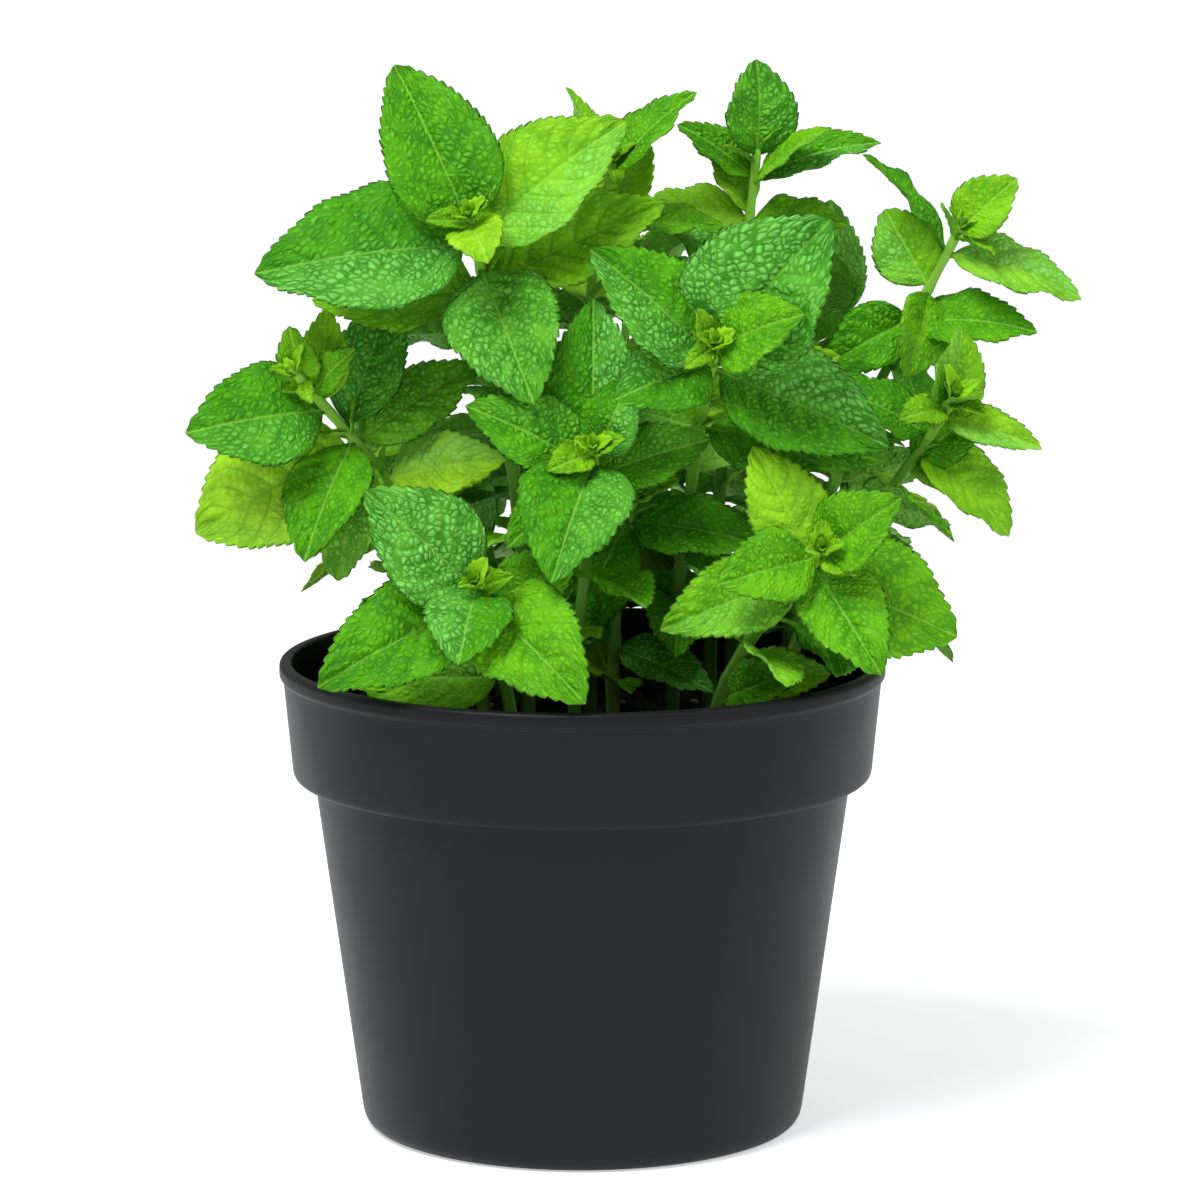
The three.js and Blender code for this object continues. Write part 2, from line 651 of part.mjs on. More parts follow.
// The ruled pairs of one shoot: each pair stands across the one above it, a little off by a draw.
function ruledPairs(shoot, stem) {
  const [start, twist] = SHOOTS[shoot].below;
  return NODES.flatMap(({ drop, length, pitch }, node) => {
    if (drop < start || drop > stem.total - LOWEST_NODE) return [];
    const axis = stem.axisAt(drop);
    const front = squareTo(FRONT, axis).normalize();
    return [0, 1].map((half) => {
      const around = twist + PAIR_TURN * node + 180 * half;
      const out = turned(front, axis, around + AROUND_SPREAD * (draw(shoot, node, half) - 0.5));
      const off = radians(pitch + PITCH_SPREAD * (draw(shoot, node, half + 5) - 0.5));
      const along = axis.clone().multiplyScalar(Math.cos(off)).addScaledVector(out, Math.sin(off));
      return {
        shoot,
        seed: RULED_SEED + 2 * node + half,
        base: stem.at(drop),
        face: axis,
        along: along.normalize(),
        roll: 0,
        length: length * between(RULED_STRETCH, draw(shoot, node, half + 9)),
        share: between(RULED_SHARE, draw(shoot, node, half + 13)),
        written: false,
      };
    });
  });
}

// Places each leaf at the first bend that is clear of all else; a ruled leaf with none is left out,
// and a written one keeps the bend with the widest gap.
function placeLeaves(stems) {
  const stemSamples = stems.map((stem) => {
    const points = [];
    for (let drop = 0; drop < stem.total; drop += STEM_SAMPLE_STEP) points.push(stem.at(drop));
    return points;
  });
  const placed = [];
  for (const { shoot, seed, base, face, along, roll, length, share, written } of leafJobs(stems)) {
    const hinge = along.clone().cross(NEARLY_FRONT).normalize();
    let best = null;
    for (const shrink of SHRINKS) {
      for (const [lift, swing] of BENDS) {
        if (best && best.gap >= LEAF_GAP) break;
        const bent = turned(turned(along, hinge, lift), face, swing).normalize();
        const leaf = makeLeaf(base, face, bent, roll, length * shrink, share, [shoot, seed]);
        const samples = samplesOf(leaf);
        if (!samples.every((s) => s.t <= STALK_FREE || clearOfPot(s.p))) continue;
        const gap = clearance(samples, shoot, stemSamples, placed);
        if (!best || gap > best.gap) best = { gap, leaf, samples };
      }
    }
    if (!best || (best.gap < LEAF_GAP && !written)) continue;
    const box = new THREE.Box3().setFromPoints(best.samples.map((s) => s.p));
    placed.push({ shoot, leaf: best.leaf, samples: best.samples, box });
  }
  return placed;
}

const plastic = new THREE.MeshStandardMaterial({ color: 0x2b2b2c, roughness: 0.5, metalness: 0 });
const earth = new THREE.MeshStandardMaterial({ color: 0x1c1512, roughness: 0.95, metalness: 0 });
const foliage = new THREE.MeshStandardMaterial({ color: 0x4a9d22, roughness: 0.5, metalness: 0 });

function named(name, solid, material) {
  const mesh = new THREE.Mesh(geometryOf(solid), material);
  mesh.name = name;
  return mesh;
}

const plant = new THREE.Group();
plant.add(named("pot", makePot(), plastic));
plant.add(named("soil", makeSoil(), earth));

const stems = SHOOTS.map(makeStem);
const leaves = placeLeaves(stems);
SHOOTS.forEach((shoot, index) => {
  const blades = leaves.filter((placed) => placed.shoot === index);
  const joined = blades.reduce(
    (solid, { leaf }) => solid.add(leafSolid(leaf)),
    stemSolid(shoot, stems[index]),
  );
  plant.add(named("shoot_" + shoot.name, mainBody(joined), foliage));
});

export default plant;
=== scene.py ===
# %% [markdown]
# # A spearmint plant in a plastic pot
#
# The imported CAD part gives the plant's form: a pot, its soil and nineteen leafy shoots, with few faces each.
# This lesson grows the same plant finely round it. Every shoot keeps its place, its bend and its leaves, and
# gets what only a render needs: toothed margins, veins, quilted blades, square ridged stems and real
# finishes. Sizes are in millimetres until a mesh is made, and the plant's front is towards -Y.

import bpy
import numpy as np
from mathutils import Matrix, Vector


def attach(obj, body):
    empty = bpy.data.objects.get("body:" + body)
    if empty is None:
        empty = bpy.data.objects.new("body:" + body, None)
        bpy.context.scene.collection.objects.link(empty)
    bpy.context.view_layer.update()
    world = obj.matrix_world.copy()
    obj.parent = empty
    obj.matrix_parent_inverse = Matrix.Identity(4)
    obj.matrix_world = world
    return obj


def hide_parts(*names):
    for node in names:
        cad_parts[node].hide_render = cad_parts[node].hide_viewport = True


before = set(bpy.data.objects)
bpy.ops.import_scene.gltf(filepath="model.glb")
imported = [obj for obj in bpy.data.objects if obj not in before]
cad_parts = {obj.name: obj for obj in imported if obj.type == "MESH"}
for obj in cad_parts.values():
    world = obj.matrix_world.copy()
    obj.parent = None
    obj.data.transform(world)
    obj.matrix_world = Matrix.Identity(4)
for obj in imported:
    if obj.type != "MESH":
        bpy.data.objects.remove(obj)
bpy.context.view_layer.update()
MM = 0.001
FULL_TURN = 2 * np.pi

# %% [markdown]
# ## Tools for meshes
#
# Each piece here is a skin over rings of points: a pot's wall is one, and so are a stem and a leaf's blade.
# The points come from numpy as whole arrays, and one function joins each ring to the next and closes both
# ends on a single point, so that every piece is a closed body. Volume tells which way the faces look: if it
# comes out negative they point inwards, and the whole skin is turned.


# %% Rings, skins and pieces
def ring_faces(rings, around):
    """Quads between each ring and the next, and fans of triangles from the end rings to one point each.

    The points are numbered: the first pole, then ring after ring, then the last pole."""
    k = np.arange(around)
    after = (k + 1) % around
    row = 1 + around * np.arange(rings - 1)[:, None]
    quads = np.stack([row + k, row + after, row + around + after, row + around + k], axis=-1).reshape(-1, 4)
    last = 1 + around * (rings - 1)
    start = np.stack([np.zeros(around, int), 1 + after, 1 + k], axis=-1)
    end = np.stack([last + k, last + after, np.full(around, last + around)], axis=-1)
    return quads, np.concatenate([start, end])


def volume_of(points, quads, triangles):
    """The sum of every triangle's signed tetrahedron to the origin: negative if the faces point inwards."""
    corners = np.concatenate([quads[:, [0, 1, 2]], quads[:, [0, 2, 3]], triangles])
    a, b, c = points[corners[:, 0]], points[corners[:, 1]], points[corners[:, 2]]
    return np.einsum("ij,ij->i", a, np.cross(b, c)).sum() / 6


def closed_skin(rings, first, last, **values):
    """Rings of shape (count, around, 3) and two poles as one skin whose faces point outwards.

    Each extra value holds one number, or one row of numbers, for every point of every ring, and its poles
    take the mean of the ring next to them."""
    count, around = rings.shape[:2]
    points = np.concatenate([[first], rings.reshape(-1, 3), [last]])
    quads, triangles = ring_faces(count, around)
    if volume_of(points, quads, triangles) < 0:
        quads, triangles = quads[:, ::-1], triangles[:, ::-1]
    skin = {"points": points, "quads": quads, "triangles": triangles}
    for name, value in values.items():
        ends = value[0].mean(axis=0), value[-1].mean(axis=0)
        flat = value.reshape(count * around, -1)
        skin[name] = np.concatenate([np.atleast_2d(ends[0]), flat, np.atleast_2d(ends[1])])
    return skin


def joined(skins):
    """Several skins as one, with the later ones' faces counted on from the earlier ones' points."""
    starts = np.cumsum([0] + [len(skin["points"]) for skin in skins[:-1]])
    whole = {}
    for name in skins[0]:
        shift = starts if name in ("quads", "triangles") else np.zeros(len(skins), int)
        whole[name] = np.concatenate([skin[name] + first for skin, first in zip(skins, shift)])
    return whole


def add_piece(name, skin, materials, material_of_face=None):
    """A smooth-shaded object from a skin in millimetres. Every value that isn't a face or a point becomes
    an attribute of the mesh, apart from uv, which becomes its UV map."""
    mesh = bpy.data.meshes.new(name)
    faces = skin["quads"].tolist() + skin["triangles"].tolist()
    mesh.from_pydata((skin["points"] * MM).tolist(), [], faces)
    for material in materials:
        mesh.materials.append(material)
    mesh.polygons.foreach_set("use_smooth", np.ones(len(faces), bool))
    if material_of_face is not None:
        mesh.polygons.foreach_set("material_index", material_of_face.astype(np.int32))
    for key, value in skin.items():
        if key == "uv":
            corner_points = np.empty(len(mesh.loops), np.int32)
            mesh.loops.foreach_get("vertex_index", corner_points)
            layer = mesh.uv_layers.new(name="surface")
            layer.data.foreach_set("uv", value[corner_points].astype(np.float32).ravel())
        elif key not in ("points", "quads", "triangles"):
            attribute = mesh.attributes.new(key, "FLOAT_VECTOR", "POINT")
            attribute.data.foreach_set("vector", value.astype(np.float32).ravel())
    mesh.update()
    piece = bpy.data.objects.new(name, mesh)
    bpy.context.scene.collection.objects.link(piece)
    return piece


def triangle_count(piece):
    """How many triangles a piece has: each face counts its corners less two."""
    return sum(len(face.vertices) - 2 for face in piece.data.polygons)


print("quads between three rings of eight points:", len(ring_faces(3, 8)[0]))

# %% [markdown]
# ## Tools for materials
#
# Colours are picked as sRGB hex values, as on a screen, and one function turns them to the linear light that
# the shader works in. Another adds one node with its settings and its links, so that each material below
# reads as a short list of what its surface does. The half of it that fills a node also fills the Principled
# shader that each list ends in.


# %% Colours and nodes
def linear(hex_value):
    """An sRGB hex colour as linear RGBA: each channel is divided by 12.92 if it is very dark, and otherwise
    moved by 0.055, scaled and raised to the power 2.4."""
    channels = np.array([int(hex_value[i : i + 2], 16) for i in (1, 3, 5)]) / 255
    light = np.where(channels <= 0.04045, channels / 12.92, ((channels + 0.055) / 1.055) ** 2.4)
    return (*light.tolist(), 1.0)


def set_up(node, *values, stops=(), **settings):
    """Fills a node. Values go into its sockets in order, and a capitalised setting into the socket of that
    name, with _ for a space: an output is linked to it, and anything else is set on it. A setting in small
    letters is the node's own. stops are a colour ramp's places and hex colours."""
    sockets = list(zip(node.inputs, values))
    for name, value in settings.items():
        if name.islower():
            setattr(node, name, value)
        else:
            sockets.append((node.inputs[name.replace("_", " ")], value))
    for socket, value in sockets:
        if isinstance(value, bpy.types.NodeSocket):
            node.id_data.links.new(value, socket)
        else:
            socket.default_value = value
    for _ in stops[2:]:
        node.color_ramp.elements.new(0.5)
    for number, (place, colour) in enumerate(stops):
        node.color_ramp.elements[number].position = place
        node.color_ramp.elements[number].color = linear(colour)


def add_node(owner, kind, *values, **settings):
    """Adds a node of that kind to a material or a world, sets it up and returns its outputs."""
    node = owner.node_tree.nodes.new("ShaderNode" + kind)
    set_up(node, *values, **settings)
    return node.outputs


def new_material(name):
    """A material with an output and a Principled shader, which is returned with it."""
    material = bpy.data.materials.new(name)
    material.use_nodes = True
    return material, material.node_tree.nodes["Principled BSDF"]


print("a middle grey in linear light:", round(linear("#808080")[0], 3))

# %% [markdown]
# ## The pot's finish
#
# The pot is polypropylene with carbon black in it, injection moulded in a steel tool with a fine spark
# texture. That gives the eye a charcoal that is even and soft, a faint grain, and a broad pale sheen where
# the wall turns away. The grain is 0.35 mm, and slow changes in the sheen come from the wall's cooling. Both
# are noise in the piece's own coordinates, which has no seam and needs no unwrapping.

# %% Moulded charcoal polypropylene
GRAIN_MM = 0.35
COOLING_MM = 28.0
pot_plastic, shader = new_material("charcoal polypropylene, injection moulded")
place = add_node(pot_plastic, "TexCoord")["Object"]
grain = add_node(pot_plastic, "TexNoise", place, Scale=1 / (GRAIN_MM * MM), Detail=2.0)["Fac"]
cooling = add_node(pot_plastic, "TexNoise", place, Scale=1 / (COOLING_MM * MM), Detail=3.0)["Fac"]
tone = add_node(pot_plastic, "ValToRGB", cooling, stops=[(0.3, "#151516"), (0.7, "#19191a")])["Color"]
sheen = add_node(pot_plastic, "MapRange", cooling, 0.3, 0.7, 0.4, 0.48)["Result"]
dimples = add_node(pot_plastic, "Bump", Height=grain, Strength=0.25, Distance=0.05 * MM)["Normal"]
set_up(shader, Base_Color=tone, Roughness=sheen, Normal=dimples, IOR=1.49, Specular_IOR_Level=0.15)
print("finish:", pot_plastic.name)

# %% [markdown]
# ## The pot
#
# A moulded pot is a profile turned about its axis. The profile is a few corners read off the CAD sizes, each
# with its own rounding: soft at the foot and the band's lower edge, tight at the lip. A screw modifier and a
# bevel could make it. Here each corner gives way to an arc that touches both of its sides, and the line is
# then turned, because that gives every corner its own radius. The long straight runs are divided too, so
# that smooth shading stays even. Four drain holes are cut through the floor.

# %% Pot profile
POT_HEIGHT = 125.0
LIP_RADIUS = 80.0
LIP_HEIGHT = 4.5
LIP_PROUD = 1.0
BAND_HEIGHT = 31.0
BAND_FOOT_RADIUS = 76.4
BODY_TOP_RADIUS = 71.0
BODY_FOOT_RADIUS = 58.0
WALL = 2.2
FLOOR = 3.0
POT_AROUND = 192
LONGEST_STEP = 4.0
ARC_POINTS = 6
POLE_RADIUS = 0.5


def rounded_profile(corners):
    """A line through (radius, height, rounding) corners. Each corner gives way to a quadratic arc that
    starts and ends its rounding away from the corner, and straight runs are cut into equal steps."""
    place = np.array([corner[:2] for corner in corners], float)
    line = [place[0][None]]
    roundings = [corner[2] for corner in corners[1:-1]]
    for before, here, after, rounding in zip(place[:-2], place[1:-1], place[2:], roundings):
        back, ahead = before - here, after - here
        start = here + back * min(rounding / np.linalg.norm(back), 0.5)
        end = here + ahead * min(rounding / np.linalg.norm(ahead), 0.5)
        t = np.linspace(0, 1, ARC_POINTS)[:, None]
        line.append((1 - t) ** 2 * start + 2 * t * (1 - t) * here + t**2 * end)
    line.append(place[-1][None])
    line = np.concatenate(line)
    steps = np.ceil(np.linalg.norm(np.diff(line, axis=0), axis=1) / LONGEST_STEP).astype(int)
    pieces = [
        a + (b - a) * (np.arange(count) / count)[:, None]
        for a, b, count in zip(line[:-1], line[1:], steps) if count
    ]
    return np.concatenate(pieces + [line[-1:]])


band_foot = POT_HEIGHT - BAND_HEIGHT
band_top = POT_HEIGHT - LIP_HEIGHT
band_top_radius = LIP_RADIUS - LIP_PROUD
shelf = band_foot + WALL
pot_corners = [
    (POLE_RADIUS, 0, 0),
    (BODY_FOOT_RADIUS, 0, 4.5),
    (BODY_TOP_RADIUS, band_foot, 1.2),
    (BAND_FOOT_RADIUS, band_foot, 2.0),
    (band_top_radius, band_top, 0.5),
    (LIP_RADIUS, band_top + 0.6, 0.7),
    (LIP_RADIUS, POT_HEIGHT, 1.5),
    (band_top_radius - WALL, POT_HEIGHT, 0.9),
    (BAND_FOOT_RADIUS - WALL, shelf, 0.8),
    (BODY_TOP_RADIUS - WALL, shelf, 0.8),
    (BODY_FOOT_RADIUS - WALL + 0.4, FLOOR, 3.0),
    (POLE_RADIUS, FLOOR, 0),
]
profile = rounded_profile(pot_corners)
print("profile points:", len(profile))


# %% Turn the profile and drill the floor
# swings a turn, millimetres and where each starts
OUT_OF_ROUND = [(2, 0.06, 0.4), (3, 0.05, 2.0)]


def turned_skin(profile, around):
    """The profile carried about +Z, with its two ends closed on the axis. A real wall is out of round by a
    hair, so the radius also swings by a tenth of a millimetre, two and three times a turn."""
    angle = FULL_TURN * np.arange(around) / around
    out_of_round = sum(size * np.sin(swings * angle + start) for swings, size, start in OUT_OF_ROUND)
    radius = profile[:, :1] + out_of_round * np.minimum(profile[:, :1] / BODY_FOOT_RADIUS, 1)
    height = np.repeat(profile[:, 1:], around, axis=1)
    rings = np.stack([radius * np.cos(angle), radius * np.sin(angle), height], axis=-1)
    return closed_skin(rings, [0, 0, profile[0, 1]], [0, 0, profile[-1, 1]])


DRAIN_HOLES = 4
DRAIN_RADIUS = 5.0
DRAIN_CIRCLE = 34.0
DRILL_AROUND = 48
DRILL_LOW, DRILL_HIGH = -2 * FLOOR, 3 * FLOOR
SHARP_EDGE = 40
pot = add_piece("moulded_pot", turned_skin(profile, POT_AROUND), [pot_plastic])
drills = []
for hole in range(DRAIN_HOLES):
    turn = FULL_TURN * (hole + 0.5) / DRAIN_HOLES
    centre = [DRAIN_CIRCLE * np.cos(turn), DRAIN_CIRCLE * np.sin(turn)]
    angle = FULL_TURN * np.arange(DRILL_AROUND) / DRILL_AROUND
    circle = centre + DRAIN_RADIUS * np.stack([np.cos(angle), np.sin(angle)], axis=-1)
    ends = [np.column_stack([circle, np.full(DRILL_AROUND, z)]) for z in (DRILL_LOW, DRILL_HIGH)]
    drills.append(closed_skin(np.stack(ends), [*centre, DRILL_LOW], [*centre, DRILL_HIGH]))
drill = add_piece("drain_drill", joined(drills), [pot_plastic])
cut = pot.modifiers.new("drain holes", "BOOLEAN")
cut.object = drill
cut.operation = "DIFFERENCE"
cut.solver = "EXACT"
drilled = bpy.data.meshes.new_from_object(pot.evaluated_get(bpy.context.evaluated_depsgraph_get()))
pot.modifiers.clear()
pot.data = drilled
bpy.data.objects.remove(drill)
pot.data.shade_smooth()
pot.data.set_sharp_from_angle(angle=np.radians(SHARP_EDGE))
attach(pot, "root")
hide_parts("pot")
print("pot triangles:", triangle_count(pot))

# %% [markdown]
# ## The potting mix
#
# Potting mix is damp peat and composted bark with a little perlite. It is nearly black when wet, and its
# surface is crumbly at every size, so it is made twice over: a skin whose top is raised by a sum of waves
# that run in many directions, and nine hundred loose crumbs half sunk in it. A displace modifier could raise
# the skin too, but a formula also tells how high each crumb sits.

# %% Damp peat and bark
CLOD_MM = 3.5
FLECKS_PER_METRE = 900.0
soil_mix, shader = new_material("damp peat and bark, crumbled")
place = add_node(soil_mix, "TexCoord")["Object"]
clods = add_node(soil_mix, "TexNoise", place, Scale=1 / (CLOD_MM * MM), Detail=8.0, Roughness=0.65)["Fac"]
soil_stops = [(0.35, "#0e0b09"), (0.55, "#211812"), (0.72, "#3a2a1e")]
soil_tone = add_node(soil_mix, "ValToRGB", clods, stops=soil_stops)["Color"]
soil_bump = add_node(soil_mix, "Bump", Height=clods, Strength=0.9, Distance=1.5 * MM)["Normal"]
set_up(shader, Base_Color=soil_tone, Normal=soil_bump, Roughness=0.85, IOR=1.4)

crumb_mix, shader = new_material("bark chips and perlite, loose")
kind = add_node(crumb_mix, "Attribute", attribute_name="kind")["Vector"]
kind_share = add_node(crumb_mix, "SeparateXYZ", kind)["X"]
crumb_stops = [(0.0, "#120d0a"), (0.45, "#2b1d13"), (0.9, "#4a3320"), (0.97, "#b9b2a4")]
crumb_tone = add_node(crumb_mix, "ValToRGB", kind_share, stops=crumb_stops)["Color"]
place = add_node(crumb_mix, "TexCoord")["Object"]
flecks = add_node(crumb_mix, "TexNoise", place, Scale=FLECKS_PER_METRE)["Fac"]
crumb_bump = add_node(crumb_mix, "Bump", Height=flecks, Strength=0.7, Distance=0.4 * MM)["Normal"]
set_up(shader, Base_Color=crumb_tone, Normal=crumb_bump, Roughness=0.9)
print("finishes:", soil_mix.name, "and", crumb_mix.name)

# %% Soil surface
SOIL_TOP = 107.0
SEAT_GAP = 0.3
SOIL_SEED = 7
SOIL_WAVES = 24
LONGEST_WAVE, SHORTEST_WAVE = 28.0, 3.5
SOIL_AROUND = 160
SOIL_RINGS = 56
random = np.random.default_rng(SOIL_SEED)
wave_turn = random.uniform(0, FULL_TURN, SOIL_WAVES)
wave_length = np.geomspace(LONGEST_WAVE, SHORTEST_WAVE, SOIL_WAVES)
wave_start = random.uniform(0, FULL_TURN, SOIL_WAVES)


def soil_height(x, y):
    """The soil's height: waves in 24 directions from 28 mm down to 3.5 mm long, each a sine of the run
    along its own direction, and each as tall as a twentieth of its length to the power 0.8."""
    run = x[..., None] * np.cos(wave_turn) + y[..., None] * np.sin(wave_turn)
    waves = np.sin(FULL_TURN * run / wave_length + wave_start) * 0.05 * wave_length**0.8
    return SOIL_TOP + waves.sum(axis=-1)


def inner_radius(z):
    """The wall's inner radius at a height above the shelf."""
    share = (z - band_foot) / (band_top - band_foot)
    return BAND_FOOT_RADIUS + (band_top_radius - BAND_FOOT_RADIUS) * share - WALL


edge = inner_radius(SOIL_TOP) - 1.5 * SEAT_GAP
angle = FULL_TURN * np.arange(SOIL_AROUND) / SOIL_AROUND
radius = np.linspace(edge, 1.0, SOIL_RINGS)
x = radius[:, None] * np.cos(angle)
y = radius[:, None] * np.sin(angle)
top_rings = np.stack([x, y, soil_height(x, y)], axis=-1)
# the hidden side stays one to three millimetres inside the pot's wall
wall = [
    (BODY_FOOT_RADIUS - WALL - 3, FLOOR + SEAT_GAP),
    (BODY_TOP_RADIUS - WALL - 1, shelf - 2),
    (edge - 2, shelf + 2),
]
wall_rings = np.stack(
    [np.column_stack([r * np.cos(angle), r * np.sin(angle), np.full(SOIL_AROUND, z)]) for r, z in wall]
)
soil_rings = np.concatenate([wall_rings, top_rings])
middle = np.array([0.0])
soil_skin = closed_skin(soil_rings, [0, 0, FLOOR + SEAT_GAP], [0, 0, soil_height(middle, middle)[0]])
soil = add_piece("potting_mix", soil_skin, [soil_mix])
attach(soil, "root")
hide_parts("soil")
print("soil triangles:", triangle_count(soil))

# %% Loose crumbs
CRUMBS = 900
CRUMB_AROUND = 6
CRUMB_RING, CRUMB_POLE = 0.35, 0.7
SMALLEST_CRUMB, CRUMB_SPREAD = 0.6, 1.5


def crumb(at, size, stretch, spin, kind_value):
    """A pebble of two rings and two poles. The rings of six points are about a quarter and three quarters of
    the way up, and each point is pushed in or out by a draw, stretched one way and turned."""
    around = FULL_TURN * np.arange(CRUMB_AROUND) / CRUMB_AROUND
    push = random.uniform(0.7, 1.2, (2, CRUMB_AROUND))
    flat = np.stack([np.cos(around) * push, np.sin(around) * push * stretch], axis=-1) * size
    height = np.array([-CRUMB_RING, CRUMB_RING])[:, None] * size * random.uniform(0.7, 1.1)
    turn = np.array([[np.cos(spin), np.sin(spin)], [-np.sin(spin), np.cos(spin)]])
    height = np.broadcast_to(height, push.shape)[..., None]
    rings = np.concatenate([flat @ turn, height], axis=-1) + at
    pole = np.array([0, 0, CRUMB_POLE * size])
    return closed_skin(rings, at - pole, at + pole, kind=np.full((*push.shape, 3), kind_value))


# spread evenly over the soil, and most of them small: a draw to the power 2.5 is rarely near 1
crumb_radius = (edge - 3) * np.sqrt(random.uniform(0, 1, CRUMBS))
crumb_angle = random.uniform(0, FULL_TURN, CRUMBS)
crumb_x = crumb_radius * np.cos(crumb_angle)
crumb_y = crumb_radius * np.sin(crumb_angle)
crumb_at = np.column_stack([crumb_x, crumb_y, soil_height(crumb_x, crumb_y) + 0.3])
crumb_size = SMALLEST_CRUMB + CRUMB_SPREAD * random.uniform(0, 1, CRUMBS) ** 2.5
pebbles = [
    crumb(at, size, random.uniform(0.4, 0.9), random.uniform(0, FULL_TURN), random.uniform(0, 1))
    for at, size in zip(crumb_at, crumb_size)
]
crumbs = add_piece("bark_crumbs", joined(pebbles), [crumb_mix])
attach(crumbs, "root")
print("crumb triangles:", triangle_count(crumbs))

# %% [markdown]
# ## How the plant grows
#
# A mint shoot is one square stem with pairs of leaves, each pair at right angles to the one above. The table
# holds what can be seen of every shoot: where it roots, where its tip is and which way that looks, and a row
# for each leaf that stands out. A rule adds the pairs lower down, and bends any leaf that would touch
# another. These are the CAD source's own values and rule, so each fine leaf grows where its CAD leaf is.

